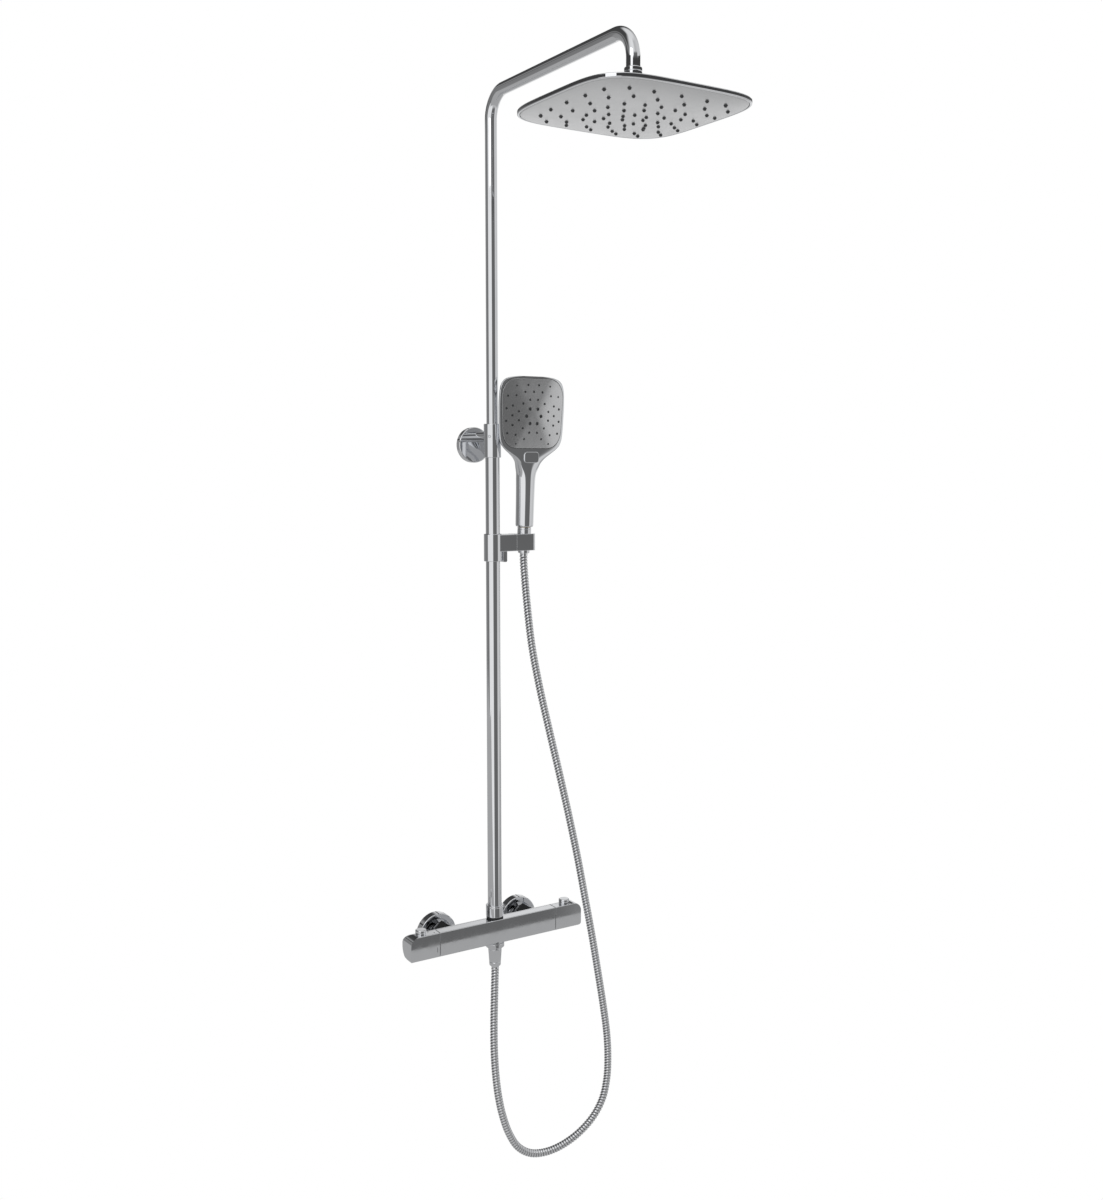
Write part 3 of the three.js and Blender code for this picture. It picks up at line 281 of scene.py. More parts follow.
def polish(name, base, metallic, rough, spread, grain, bump):
    """A finish: base colour with a slow drift of shade down to 0.95 of it, roughness that
    wanders by spread, and a fine bump at a grain size in millimetres. All read the object's
    own coordinates."""
    made = bpy.data.materials.new(name)
    made.use_nodes = True
    t = made.node_tree
    shader = t.nodes["Principled BSDF"]
    place = t.nodes.new("ShaderNodeTexCoord").outputs["Object"]

    def noise(size, detail):
        node = t.nodes.new("ShaderNodeTexNoise")
        node.inputs["Scale"].default_value = 1000 / size
        node.inputs["Detail"].default_value = detail
        t.links.new(place, node.inputs["Vector"])
        return node.outputs["Fac"]

    def ranged(value, low, high):
        node = t.nodes.new("ShaderNodeMapRange")
        node.inputs["From Min"].default_value = 0.3
        node.inputs["From Max"].default_value = 0.7
        node.inputs["To Min"].default_value = low
        node.inputs["To Max"].default_value = high
        t.links.new(value, node.inputs["Value"])
        return node.outputs[0]

    dark = tuple(c * 0.95 for c in base) + (1,)
    shade = blended(t, ranged(noise(60, 3), 0, 1), dark, base + (1,))
    t.links.new(shade, shader.inputs["Base Color"])
    shader.inputs["Metallic"].default_value = metallic
    t.links.new(ranged(noise(14, 4), rough - spread, rough + spread), shader.inputs["Roughness"])
    raised = t.nodes.new("ShaderNodeBump")
    raised.inputs["Strength"].default_value = bump
    raised.inputs["Distance"].default_value = 0.0004
    t.links.new(noise(grain, 3), raised.inputs["Height"])
    t.links.new(raised.outputs[0], shader.inputs["Normal"])
    return made


chrome = polish("polished_chrome", (0.83, 0.84, 0.86), 1.0, 0.035, 0.012, 12, 0.004)
hose_chrome = polish("hose_strip_chrome", (0.93, 0.94, 0.96), 1.0, 0.10, 0.04, 3, 0.02)

# Straight for 9 out of each nut, and along the chosen points between.
start, end = np.array([0, AXIS_Y, -58.8]), np.array([0, 0, -17.6])
route = [start, start - [0, 0, 9]] + [np.array([x, AXIS_Y, z]) for x, z in HOSE_POINTS]
route += [leant(end - [0, 0, 9]), leant(end)]
hose_length = smooth_line(np.array(route), 400)[1]
hose_rows = int(hose_length / STRIP_PITCH * ROWS_A_TURN)
centre_line, hose_length = smooth_line(np.array(route), hose_rows)


def tube_round(line, radius, sides, lead=(0, 1, 0)):
    """Circles of a radius round each point of a line, square to its direction. The first
    cross direction is lead with its along-line share taken out. Radius may be an array of
    rows by sides."""
    along = np.gradient(line, axis=0)
    along /= np.linalg.norm(along, axis=1)[:, None]
    lead = np.broadcast_to(np.array(lead, float), line.shape)
    first = lead - (lead * along).sum(1)[:, None] * along
    first /= np.linalg.norm(first, axis=1)[:, None]
    second = np.cross(along, first)
    angle = np.linspace(0, 2 * np.pi, sides, endpoint=False)[None, :, None]
    radius = np.broadcast_to(np.asarray(radius, float), (len(line), sides))[..., None]
    spoke = np.cos(angle) * first[:, None] + np.sin(angle) * second[:, None]
    return line[:, None] + radius * spoke


# Groove depth along the strip: a narrow valley once a turn, so the ribs wind round the hose.
sides = 22
gone = np.linspace(0, hose_length, hose_rows)[:, None]
phase = 2 * np.pi * gone / STRIP_PITCH - np.linspace(0, 2 * np.pi, sides, endpoint=False)[None]
ends = np.clip(np.minimum(gone, hose_length - gone) / PLAIN_END, 0, 1)
valley = (0.5 + 0.5 * np.cos(phase)) ** 3 * ends
hose = piece("hose_tube", tube_round(centre_line, HOSE_RADIUS - GROOVE_DEPTH * valley, sides),
             "column", hose_chrome, "shower_hose", angle=80)
hose.data.attributes.new("valley", "FLOAT", "POINT").data.foreach_set("value", valley.ravel())
# Painted shade in the grooves: the valley blends the strip's colour towards near black, darkest at the bottom
# of each groove.
tree = hose_chrome.node_tree
mark = tree.nodes.new("ShaderNodeAttribute")
mark.attribute_name = "valley"
strip = tree.nodes["Principled BSDF"].inputs["Base Color"]
shaded = sums(tree, "MULTIPLY", mark.outputs["Fac"], GROOVE_SHADE)
painted_groove_shade = (0.03, 0.03, 0.034, 1)
tree.links.new(blended(tree, shaded, strip.links[0].from_socket, painted_groove_shade), strip)

# ---- Mixer bar ----------------------------------------------------------------------------
# A bar of cast brass, chromed: flat in front and on top, rounded behind, with its hot and
# cold inlets at the back and the column and hose outlets above and below its middle.
def filleted(corners, radii, closed=True, steps=8, hold=0.06):
    """A polygon with each corner turned into an arc. The arc's centre lies on the corner's
    bisector, radius over the sine of half its angle away; a point just before and after each
    arc keeps the flats flat. An open line keeps its two end points."""
    corners, radii = np.array(corners, float), np.array(radii, float)
    before, after = np.roll(corners, 1, 0), np.roll(corners, -1, 0)
    if not closed:
        before, after, mid, radii = before[1:-1], after[1:-1], corners[1:-1], radii[1:-1]
    else:
        mid = corners
    a = (before - mid) / np.linalg.norm(before - mid, axis=1)[:, None]
    b = (after - mid) / np.linalg.norm(after - mid, axis=1)[:, None]
    corner = np.arccos(np.clip((a * b).sum(1), -1, 1))
    reach = radii / np.tan(corner / 2)
    bisector = (a + b) / np.linalg.norm(a + b, axis=1)[:, None]
    middle = mid + bisector * (radii / np.sin(corner / 2))[:, None]
    first = (mid + a * reach[:, None] - middle) / radii[:, None]
    last = (mid + b * reach[:, None] - middle) / radii[:, None]
    sweep = (np.pi - corner)[:, None, None]
    t = np.linspace(0, 1, steps)[None, :, None]
    arc = np.sin((1 - t) * sweep) * first[:, None] + np.sin(t * sweep) * last[:, None]
    arc = middle[:, None] + radii[:, None, None] * arc / np.sin(sweep)
    lead = (mid + a * (reach + hold)[:, None])[:, None]
    tail = (mid + b * (reach + hold)[:, None])[:, None]
    line = np.concatenate([lead, arc, tail], 1).reshape(-1, 2)
    return line if closed else np.vstack([corners[:1], line, corners[-1:]])


def inward(outline):
    """Unit directions pointing into a closed outline that runs anticlockwise."""
    along = np.roll(outline, -1, 0) - np.roll(outline, 1, 0)
    along /= np.linalg.norm(along, axis=1)[:, None]
    return np.stack([-along[:, 1], along[:, 0]], -1)


def edged(low, high, edge, hold=0.06, steps=5):
    """Places and insets along a bar whose two end edges are rounded by edge: a flat rim just
    inside the end face, a quarter circle, and the full section between."""
    t = np.linspace(0, np.pi / 2, steps)
    place, inset = edge * (1 - np.sin(t)), edge * (1 - np.cos(t))
    place, inset = np.append(place[::-1], edge + hold), np.append(inset[::-1], 0)
    place, inset = np.insert(place, 0, 0), np.insert(inset, 0, edge + hold)
    return (np.concatenate([low + place, high - place[::-1]]),
            np.concatenate([inset, inset[::-1]]))


# The section, as (ahead of or behind the axis, height), with its corner radii.
BAR_FRONT, BAR_BACK, BAR_HALF = -15, 16, 20
BAR = filleted([(BAR_FRONT, BAR_HALF), (BAR_FRONT, -BAR_HALF), (BAR_BACK, -BAR_HALF),
                (BAR_BACK, BAR_HALF)], [1.2, 7, 20.6, 15], steps=16)
BAR_END = 105.2                   # half the length between the handles


def along_bar(places, insets, section, low=None, high=None):
    """The bar's section carried along X: shrunk by each inset along its own inward
    direction, and kept between a lowest and a highest height at each place."""
    shrunk = section[None] + insets[:, None, None] * inward(section)[None]
    y, z = shrunk[..., 0] + AXIS_Y, shrunk[..., 1]
    if low is not None:
        z = np.clip(z, low[:, None], high[:, None])
    return np.stack([np.broadcast_to(places[:, None], y.shape), y, z], -1)


places, insets = edged(-BAR_END, BAR_END, 0.5)
body = piece("mixer_bar", along_bar(places, insets, BAR), "column", chrome, "mixer_body")


def turned(profile, centre, radii=0.35, axis="z", closed=False, sides=72, steps=5):
    """A profile of (radius, height) corners turned about an axis through a centre, corners
    rounded by their radii. A ring's profile is closed; a solid's starts and ends on the axis,
    and those two ends need no radius."""
    radii = np.asarray(radii, float)
    if not closed and radii.ndim and len(radii) == len(profile) - 2:
        radii = np.concatenate([[1], radii, [1]])
    line = filleted(profile, np.broadcast_to(radii, len(profile)), closed, steps, 0.04)
    line = np.vstack([line, line[:1]]) if closed else line
    angle = np.linspace(0, 2 * np.pi, sides, endpoint=False)[None]
    r, h = line[:, :1], np.broadcast_to(line[:, 1:], (len(line), sides))
    u, v = r * np.cos(angle), r * np.sin(angle)
    spread = {"z": (u, v, h), "y": (u, h, v), "x": (h, u, v)}[axis]
    return np.stack(np.broadcast_arrays(*spread), -1) + np.asarray(centre, float)


# Two bosses fill out the rounded back, under the column and over the hose outlet.
AXIS = (0, AXIS_Y, 0)
boss = turned([(0, 2), (13.3, 2), (13.3, BAR_HALF), (0, BAR_HALF)], AXIS)
piece("column_boss", boss, "column", chrome)
boss = turned([(0, -BAR_HALF), (14, -BAR_HALF), (14, -2), (0, -2)], AXIS)
piece("outlet_boss", boss, "column", chrome)

# ---- Mixer handles ------------------------------------------------------------------------
# One at each end of the bar, of its section, chromed ABS: temperature at the left and flow at
# the right. The outer end is rounded off above and eased below; each presses onto a spindle.
def handle(name, node, side):
    """The bar's section between the end's rounded top, a quarter circle of 14, and its eased
    bottom, as far as each place along the handle."""
    start, end, curve = 105.8, 155.2, 14.0
    turn = np.linspace(0, np.pi / 2, 14)
    edge = edged(start, end, 0.5)
    place = np.concatenate([edge[0][:7], end - curve + curve * np.sin(turn[:-1] * 0.985)])
    inset = np.concatenate([edge[1][:7], np.zeros(13)])
    past = np.maximum(place - end + curve, 0)
    high = BAR_HALF - curve + np.sqrt(np.maximum(curve**2 - past**2, 0))
    low = np.interp(place, [end - 3, end - 1.6, end - 0.7, end], [-BAR_HALF, -18.6, -17.0, -15])
    tip = np.array([end - 0.15, end, end])
    place, inset = np.append(place, tip), np.append(inset, [0, 0.4, 0.9])
    high, low = np.append(high, [7.8, 6.3, 5.7]), np.append(low, [-16, -15, -14.5])
    grid = along_bar(place, inset, BAR, low, high)
    grid[..., 0] *= side
    made = piece(name, grid, node, chrome, node)


handle("temperature_handle_shell", "temperature_handle", -1)
handle("flow_handle_shell", "flow_handle", 1)


# ---- Push buttons -------------------------------------------------------------------------
# A round chromed button on top of each handle: pressing it lets the handle pass its stop.
BUTTON_X = 131.2
for x, name, button in ((-BUTTON_X, "safety_push", "safety_button"),
                        (BUTTON_X, "eco_push", "eco_button")):
    profile = [(0, 14.5), (3.6, 14.5), (3.6, 19), (8.6, 19), (8.6, 21.6), (8.1, 22.1), (8.6, 22.6),
               (8.6, 26.2), (0, 26.2)]
    made = piece(name, turned(profile, (x, AXIS_Y, 0), [0.3, 0.3, 0.3, 0.2, 0.2, 0.2, 1.4]),
                 button, chrome, button)

# ---- Handle marks -------------------------------------------------------------------------
# Plain painted marks on the temperature handle: an upright line in front, which shows the
# setting against the bar, and two dots on top beside the seam.
ink = polish("mark_ink", (0.075, 0.078, 0.085), 0.0, 0.45, 0.06, 0.6, 0.05)
tick_at, tick_in = edged(-10.0, -2.2, 0.05, 0.02)
tick_outline = filleted([(-110.6, -80.06), (-109.9, -80.06), (-109.9, -79.9), (-110.6, -79.9)],
                        [0.04] * 4, steps=3, hold=0.005)
grid = tick_outline[None] + 0 * tick_in[:, None, None]
grid = np.concatenate([grid, np.broadcast_to(tick_at[:, None, None], grid[..., :1].shape)], -1)
piece("setting_line", grid, "temperature_handle", ink)
for number, (x, y) in enumerate(((-112.5, -73.5), (-119.5, -65.5))):
    dot = turned([(0, 19.9), (1.15, 19.9), (1.15, 20.06), (0, 20.06)], (x, y, 0), 0.05, sides=32)
    piece(f"setting_dot_{number}", dot, "temperature_handle", ink)

# ---- Wall unions and their escutcheons ----------------------------------------------------
# Hot and cold 150 mm apart: an eccentric union screwed into the wall, a hexagon nut that
# draws the mixer onto it, and a pressed chrome escutcheon that covers the hole.
INLET_X = 75.0
for side, x in (("left", -INLET_X), ("right", INLET_X)):
    profile = [(10.75, -2), (10.75, 0), (32, 0), (32, -14), (24, -14), (24, -12.6), (28.5, -11.5),
               (28.5, -2)]
    made = piece(f"escutcheon_shell_{side}",
                 turned(profile, (x, 0, -8), [0.2, 0.2, 0.3, 1.6, 0.5, 0.3, 1, 0.4], "y", True, 96),
                 "column", chrome, f"escutcheon_{side}")


# ---- Column foot, lower tube and its nut --------------------------------------------------
# The 22 mm lower tube stands on the bar: a black gasket, then a smooth round nut with a thin
# lip on top holds it down. Drawn brass tube, polished and chromed.
rubber = polish("black_rubber", (0.028, 0.029, 0.031), 0.0, 0.52, 0.08, 1.2, 0.15)
TUBE_RADIUS, TUBE_BORE = 11, 9.8
TUBE_FOOT, TUBE_TOP = 22.9, 788
FIT = 11.3                        # bore of what goes round the tube
profile = [(TUBE_RADIUS, 20.3), (13.4, 20.3), (13.4, TUBE_FOOT), (TUBE_RADIUS, TUBE_FOOT)]
made = piece("column_gasket_ring", turned(profile, AXIS, 0.2, closed=True), "column", rubber,
             "column_gasket")
profile = [(FIT, 23.2), (14, 23.2), (14, 38.4), (13.5, 38.9), (14, 39.4), (14, 41.5), (FIT, 41.5)]
nut = turned(profile, AXIS, [0.2, 0.6, 0.3, 0.2, 0.3, 0.7, 0.2], closed=True)
made = piece("column_nut_shell", nut, "column", chrome, "column_nut")
profile = [(TUBE_BORE, TUBE_FOOT), (TUBE_RADIUS, TUBE_FOOT), (TUBE_RADIUS, TUBE_TOP),
           (TUBE_BORE, TUBE_TOP)]
made = piece("lower_tube_skin", turned(profile, AXIS, 0.2, closed=True, sides=96), "column", chrome,
             "lower_tube")

# ---- Wall bracket -------------------------------------------------------------------------
# A turned collar grips the top of the lower tube, with a small socket screw that sets the
# riser. A short arm joins it to a round cover, which hides the plate screwed to the wall.
COLLAR_LOW, COLLAR_TOP, COLLAR_RADIUS = 748, 799, 13.25
LIP = COLLAR_TOP - 2              # a thin lip closes the collar over the end of the tube
profile = [(FIT, COLLAR_LOW), (COLLAR_RADIUS, COLLAR_LOW), (COLLAR_RADIUS, COLLAR_TOP),
           (9.6, COLLAR_TOP), (9.6, LIP), (FIT, LIP)]
collar = turned(profile, AXIS, [0.2, 0.7, 0.7, 0.3, 0.3, 0.3], closed=True, sides=96)
made = piece("bracket_collar_shell", collar, "column", chrome, "bracket_collar")
ARM_Z, ARM_RADIUS, FLANGE_Z = 780.0, 8, 767.6
SCREW_BEARING = math.radians(-140)


def set_screw(points):
    """Points drawn with their axis along X, turned to face the collar's front left."""
    x, y, z = np.moveaxis(points, -1, 0)
    c, s = math.cos(SCREW_BEARING), math.sin(SCREW_BEARING)
    return np.stack([x * c - y * s, x * s + y * c + AXIS_Y, z + ARM_Z], -1)


steel = polish("plain_steel", (0.52, 0.53, 0.55), 1.0, 0.26, 0.07, 1.5, 0.06)
screw = turned([(0, 11.4), (2.3, 11.4), (2.3, 13.34), (1.25, 13.34), (1.0, 12.5), (0, 12.5)],
               (0, 0, 0), [0.2, 0.15, 0.1, 0.1], "x", sides=36)
made = piece("collar_set_screw", set_screw(screw), "column", steel, "bracket_grub_screw")

angle = np.linspace(0, 2 * np.pi, 64, endpoint=False)
across, up = ARM_RADIUS * np.cos(angle), ARM_Z + ARM_RADIUS * np.sin(angle)
# The arm starts on the collar's round side, 13.3 from its axis, and ends inside the cover.
saddle = AXIS_Y + np.sqrt(13.3**2 - across**2)
rows_y = saddle[None] + np.linspace(0, 1, 6)[:, None] * (-8.5 - saddle[None])
arm = np.stack([np.broadcast_to(across, rows_y.shape), rows_y,
                np.broadcast_to(up, rows_y.shape)], -1)
made = piece("bracket_arm_bar", arm, "column", chrome, "bracket_arm")
profile = [(0, -10), (27.5, -10), (27.5, 0), (25.9, 0), (25.9, -8), (0, -8)]
cover = turned(profile, (0, 0, FLANGE_Z), [1.8, 0.3, 0.3, 0.6], "y", sides=96)
made = piece("bracket_cover_shell", cover, "column", chrome, "bracket_cover")

# ---- Telescopic riser and shower arm ------------------------------------------------------
# One 18 mm tube, chromed: it slides in the lower tube, bends over at the top, reaches out
# over the bather and turns down to the spray head.
RISER_RADIUS, BEND = 9.0, 38
ARM_HEIGHT, ARM_REACH = 1285, 360
RISER_FOOT, ARM_TIP = 600, 1235


def bend(y, first):
    """A quarter circle of the bend's radius in the column's plane, from an angle on, about
    a centre that far ahead of the column."""
    t = first + np.linspace(0, np.pi / 2, 22)
    return np.stack([0 * t, AXIS_Y + y + BEND * np.cos(t), ARM_HEIGHT - BEND + BEND * np.sin(t)], -1)


straight = np.stack([np.zeros(2), np.full(2, AXIS_Y), [RISER_FOOT, 1230]], -1)
line = np.vstack([straight, bend(-BEND, 0), bend(BEND - ARM_REACH, np.pi / 2),
                  [[0, AXIS_Y - ARM_REACH, ARM_TIP + 0.4], [0, AXIS_Y - ARM_REACH, ARM_TIP]]])
radius = np.full((len(line), 1), RISER_RADIUS)
radius[-1] -= 0.4                 # the cut end is chamfered
made = piece("riser_and_arm", tube_round(line, radius, 72, (1, 0, 0)), "riser", chrome, "upper_riser")

# ---- Ball joint ---------------------------------------------------------------------------
# A chromed nut on the end of the arm holds a brass ball, so that the head spins and tilts.
HEAD = (0, AXIS_Y - ARM_REACH, 0)
profile = [(0, 1210), (6.7, 1208), (11.4, 1208), (11.4, 1229), (10.9, 1229.6), (11.4, 1230.2),
           (11.4, 1234.7), (0, 1234.7)]
nut = turned(profile, HEAD, [0.2, 0.9, 0.2, 0.2, 0.2, 0.9])
made = piece("swivel_nut_shell", nut, "riser", chrome, "swivel_nut")
brass = polish("plated_brass", (0.78, 0.75, 0.68), 1.0, 0.16, 0.05, 4, 0.03)
t = np.linspace(-np.pi / 2 + 0.55, np.pi / 2, 20)
BALL_RADIUS, BALL_Z = 7.8, 1213
ball = np.stack([BALL_RADIUS * np.cos(t), BALL_Z + BALL_RADIUS * np.sin(t)], -1)
ball[-1, 0] = 0
neck = np.vstack([[(0, 1188), (6.9, 1188), (6.9, 1200.6), (4.4, 1201.4), (4.0, 1202.2)], ball])
angle = np.linspace(0, 2 * np.pi, 60, endpoint=False)[None]
grid = np.stack(np.broadcast_arrays(neck[:, :1] * np.cos(angle), neck[:, :1] * np.sin(angle),
                                    neck[:, 1:]), -1) + np.array(HEAD, float)
made = piece("head_ball_stem", grid, "spray_head", brass, "head_ball")

# ---- Overhead spray head ------------------------------------------------------------------
# A thin rounded-square shell of chromed ABS, 246 mm each way. A satin spray plate with a
# slight belly is set up inside its rim, with soft rubber nozzles standing through it.
def squarish(width, power, count=256):
    """The outline where x and y, each to a power, sum to the half width to that power."""
    a = np.linspace(0, 2 * np.pi, count, endpoint=False)[None]
    c, s, n = np.cos(a), np.sin(a), np.asarray(power, float)[:, None]
    reach = (np.abs(c)**n + np.abs(s)**n) ** (-1 / n) * np.asarray(width, float)[:, None]
    return np.stack([reach * c, reach * s], -1)


def squarish_loft(path):
    """Rounded-square rings round the head's axis along a path of (half width, height). Small
    rings are round: the power grows from 2 at the hub to 4.5 at the rim."""
    width, height = path[:, 0], path[:, 1]
    power = 2 + 2.5 * np.clip((width - 13) / 80, 0, 1) ** 0.6
    flat = squarish(width, power)
    height = np.broadcast_to(height[:, None, None], flat[..., :1].shape)
    return np.concatenate([flat, height], -1) + HEAD


HEAD_HALF, PLATE_HALF = 123, 120
path = [(0, 1201), (11.5, 1201), (11.5, 1193), (83, 1193), (HEAD_HALF, 1188), (HEAD_HALF, 1182.6),
        (120.5, 1182.6), (120.5, 1186.4), (0, 1186.4)]
path = filleted(path, [1, 0.9, 1.2, 14, 1.2, 1.0, 0.5, 0.4, 1], False, 8, 0.05)
made = piece("head_rim_and_roof", squarish_loft(path), "spray_head", chrome, "head_shell")

satin = polish("satin_plate", (0.74, 0.745, 0.755), 0.95, 0.22, 0.02, 5, 0.012)
PLATE_LOW, PLATE_RISE = 1181.1, 1.5     # lowest point, and how much higher its edge is


def belly(out):
    """Height of the plate's underside at a distance out from its middle."""
    return PLATE_LOW + PLATE_RISE * (out / PLATE_HALF) ** 4


w = np.concatenate([[0], np.linspace(8, 117, 26), [118.8, 119.6, 119.95, PLATE_HALF]])
low = belly(w)
low[-3:] += [0.1, 0.5, 1.2]       # the edge turns up
under = np.stack([w, low], -1)
over = np.array([(PLATE_HALF, 1185.6), (0, 1185.6)])
made = piece("head_spray_plate", squarish_loft(np.vstack([under, over])), "spray_head", satin,
             "head_spray_face")
nozzle_rubber = polish("nozzle_rubber", (0.045, 0.047, 0.05), 0.0, 0.42, 0.06, 0.5, 0.12)


def nozzles(name, places, normal_to, tall, wide, body, replaces):
    """Small cones with a round tip and a hollow end, one at each place. Each is a profile of
    (share of width, share of height) turned about its own axis, all in one mesh."""
    profile = np.array([(1.25, -0.35), (1.25, 0.0), (1.0, 0.12), (0.78, 0.80), (0.66, 1.0),
                        (0.34, 1.0), (0.26, 0.62), (0.0, 0.62)])
    a = np.linspace(0, 2 * np.pi, 12, endpoint=False)
    wide = np.broadcast_to(np.asarray(wide, float), len(places))
    r = profile[None, :, 0, None] * wide[:, None, None]
    u = places[:, None, None, 0] + r * np.cos(a)
    v = places[:, None, None, 1] + r * np.sin(a)
    h = np.broadcast_to(tall * profile[None, :, 1, None], u.shape)
    points = normal_to(np.stack([u, v, h], -1)) / 1000
    n, rows, cols = points.shape[:3]
    index = np.arange(n * rows * cols).reshape(n, rows, cols)
    nxt = np.roll(index, -1, 2)
    quads = np.stack([index[:, :-1], nxt[:, :-1], nxt[:, 1:], index[:, 1:]], -1)
    faces = quads[:, :-1].reshape(-1, 4).tolist() + quads[:, -1, :, :3].reshape(-1, 3).tolist()
    tips = index[:, -1, :1]
    faces[n * (rows - 2) * cols:] = np.stack([index[:, -2], nxt[:, -2], np.broadcast_to(
        tips, nxt[:, -2].shape)], -1).reshape(-1, 3).tolist()
    faces += index[:, 0, ::-1].tolist()
    return finished(name, mesh_of(name, points, faces), body, nozzle_rubber, replaces, 40)


# The nozzles' places about the middle of the plate, as (across, towards the wall).
HEAD_SPOTS = np.array([
    (-31, -86), (9, -88), (49, -87), (-65, -83), (81, -84), (-87, -62), (-41, -58), (-7, -61),
    (34, -61), (68, -59), (103, -62), (-63, -37), (17, -37), (-91, -28), (-31, -25), (-6, -34),
    (41, -34), (63, -26), (91, -35), (109, -29), (8, -13), (31, -11), (-67, -3), (-39, -1),
    (-13, 1), (51, 2), (75, -2), (93, -5), (-93, 10), (11, 11), (30, 12), (110, 9), (-44, 21),
    (2, 24), (77, 21), (-19, 26), (35, 26), (58, 25), (-67, 36), (-41, 44), (11, 38), (72, 42),
    (94, 36), (-92, 48), (-13, 46), (35, 47), (53, 45), (108, 47), (-14, 65), (7, 61), (31, 61),
    (60, 58), (-64, 68), (-32, 65), (64, 65), (90, 66), (-87, 80), (17, 79), (42, 77), (103,
    78), (-43, 87), (-7, 94), (67, 89), (-65, 101), (-33, 103), (35, 95), (80, 99), (7, 105),
    (48, 105)], float)


def under_head(points):
    """Points whose third number is depth below the spray plate, hung under the head."""
    x, y, depth = np.moveaxis(points, -1, 0)
    return np.stack([x, y + HEAD[1], belly(np.maximum(np.abs(x), np.abs(y))) - depth], -1)


made = nozzles("head_nozzles", HEAD_SPOTS, under_head, 1.9, 2.35, "spray_head", "head_nozzle_mat")

# ---- Hose outlet under the mixer ----------------------------------------------------------
# A round chromed collar screwed up into the bar, and the long conical nut of the hose on its
# thread, which narrows down to the crimped end of the hose.
profile = [(5, -27.5), (14.8, -27.5), (14.8, -20.3), (10.1, -20.3), (10.1, -14), (5, -14)]
collar = turned(profile, AXIS, [0.3, 1.2, 0.8, 0.2, 0.3, 0.3], closed=True)
made = piece("outlet_collar", collar, "column", chrome, "outlet_nipple")


NUT_RADIUS, NUT_BORE = 10.75, 6.4


def hose_nut(top, straight, cone):
    """Profile of a hose nut from its crimped end up: a slight cone of that length with a
    groove near its foot, then a straight grip with a groove under its top."""
    low = top - straight - cone
    return [(NUT_BORE, low), (9.0, low), (9.35, low + 5.6), (9.0, low + 6.1), (9.4, low + 6.6),
            (NUT_RADIUS, top - straight - 0.01), (NUT_RADIUS, top - 3.6), (10.3, top - 3.1),
            (NUT_RADIUS, top - 2.6), (NUT_RADIUS, top), (NUT_BORE, top)]


NUT_EDGES = [0.3, 0.8, 0.2, 0.2, 0.2, 6, 0.3, 0.2, 0.3, 0.7, 0.3]
nut = turned(hose_nut(-27.8, 4, 26.7), AXIS, NUT_EDGES, closed=True)
made = piece("lower_hose_nut", nut, "column", chrome, "hose_nut_lower")

# ---- Sliding holder -----------------------------------------------------------------------
# A chromed ABS sleeve on the lower tube over a white nylon liner, with a square arm to the
# right. The lever under the arm squeezes the sleeve to lock it at any height.
def prism(outline_at, low, high, edge, name, body, material, node, angle=34):
    """An outline carried up Z with its end edges rounded: outline_at gives the plan at a
    height, and each ring is that plan moved inward by the rounding."""
    places, insets = edged(low, high, edge)
    rings = np.stack([outline_at(z) + i * inward(outline_at(z)) for z, i in zip(places, insets)])
    heights = np.broadcast_to(places[:, None, None], rings[..., :1].shape)
    grid = np.concatenate([rings, heights], -1)
    return piece(name, grid, body, material, node, angle=angle)


profile = [(12.9, 589), (14, 589), (14, 631), (12.9, 631)]
sleeve = turned(profile, AXIS, [0.2, 0.7, 0.7, 0.2], closed=True, sides=96)
made = piece("slider_sleeve", sleeve, "holder", chrome, "slider_body")
# The arm's plan hugs the sleeve with an arc of 13, and the cradle carries its width on.
BLOCK_LOW, BLOCK_TOP = 604, 630
NEAR, FAR = AXIS_Y - 13.2, AXIS_Y + 13.2
ARM_ROOT, ARM_END = 5, 35.2
turn = np.linspace(1.18, -1.18, 41)
bore = np.stack([13 * np.cos(turn), AXIS_Y + 13 * np.sin(turn)], -1)
corners = [(ARM_ROOT, AXIS_Y - 12), (ARM_ROOT, NEAR), (ARM_END, NEAR), (ARM_END, FAR),
           (ARM_ROOT, FAR), (ARM_ROOT, AXIS_Y + 12)]
outer = filleted(corners, [1, 0.3, 0.3, 0.3, 0.3, 1], False, 7)[1:-1]
plan = np.vstack([bore, outer])
made = prism(lambda z: plan, BLOCK_LOW, BLOCK_TOP, 1.0, "slider_arm", "holder", chrome, ())
white_nylon = polish("white_nylon", (0.70, 0.71, 0.71), 0.0, 0.38, 0.06, 1.5, 0.06)
liner = turned([(FIT, 590), (12.6, 590), (12.6, 630), (FIT, 630)], AXIS, 0.2, closed=True)
made = piece("slider_liner_ring", liner, "slider", white_nylon, "slider_liner")
LEVER_LEFT, LEVER_RIGHT, LEVER_LOW, LEVER_TOP = 15.3, 22.7, 587, 612.9
side_view = filleted([(LEVER_LEFT, LEVER_LOW), (LEVER_RIGHT, LEVER_LOW), (LEVER_RIGHT, LEVER_TOP),
                      (LEVER_LEFT, LEVER_TOP)], [2.2, 2.2, 3.6, 3.6], steps=8)
places, insets = edged(-5.5, 5.5, 0.7)
rings = side_view[None] + insets[:, None, None] * inward(side_view)[None]
grid = np.stack(np.broadcast_arrays(rings[..., 0], AXIS_Y + places[:, None], rings[..., 1]), -1)
made = piece("lock_lever_paddle", grid, "lock_lever", chrome, "lock_lever")

# ---- Cradle -------------------------------------------------------------------------------
# The outer half of the holder turns on a screw along the arm, to tilt the hand shower. Its
# bore is open at the outer end, wide enough to let the hose through, and leans forward.
CRADLE_START, CRADLE_END = 35.6, 70.2
SLOT_HALF = 7.25                  # half the slot that lets the hose through


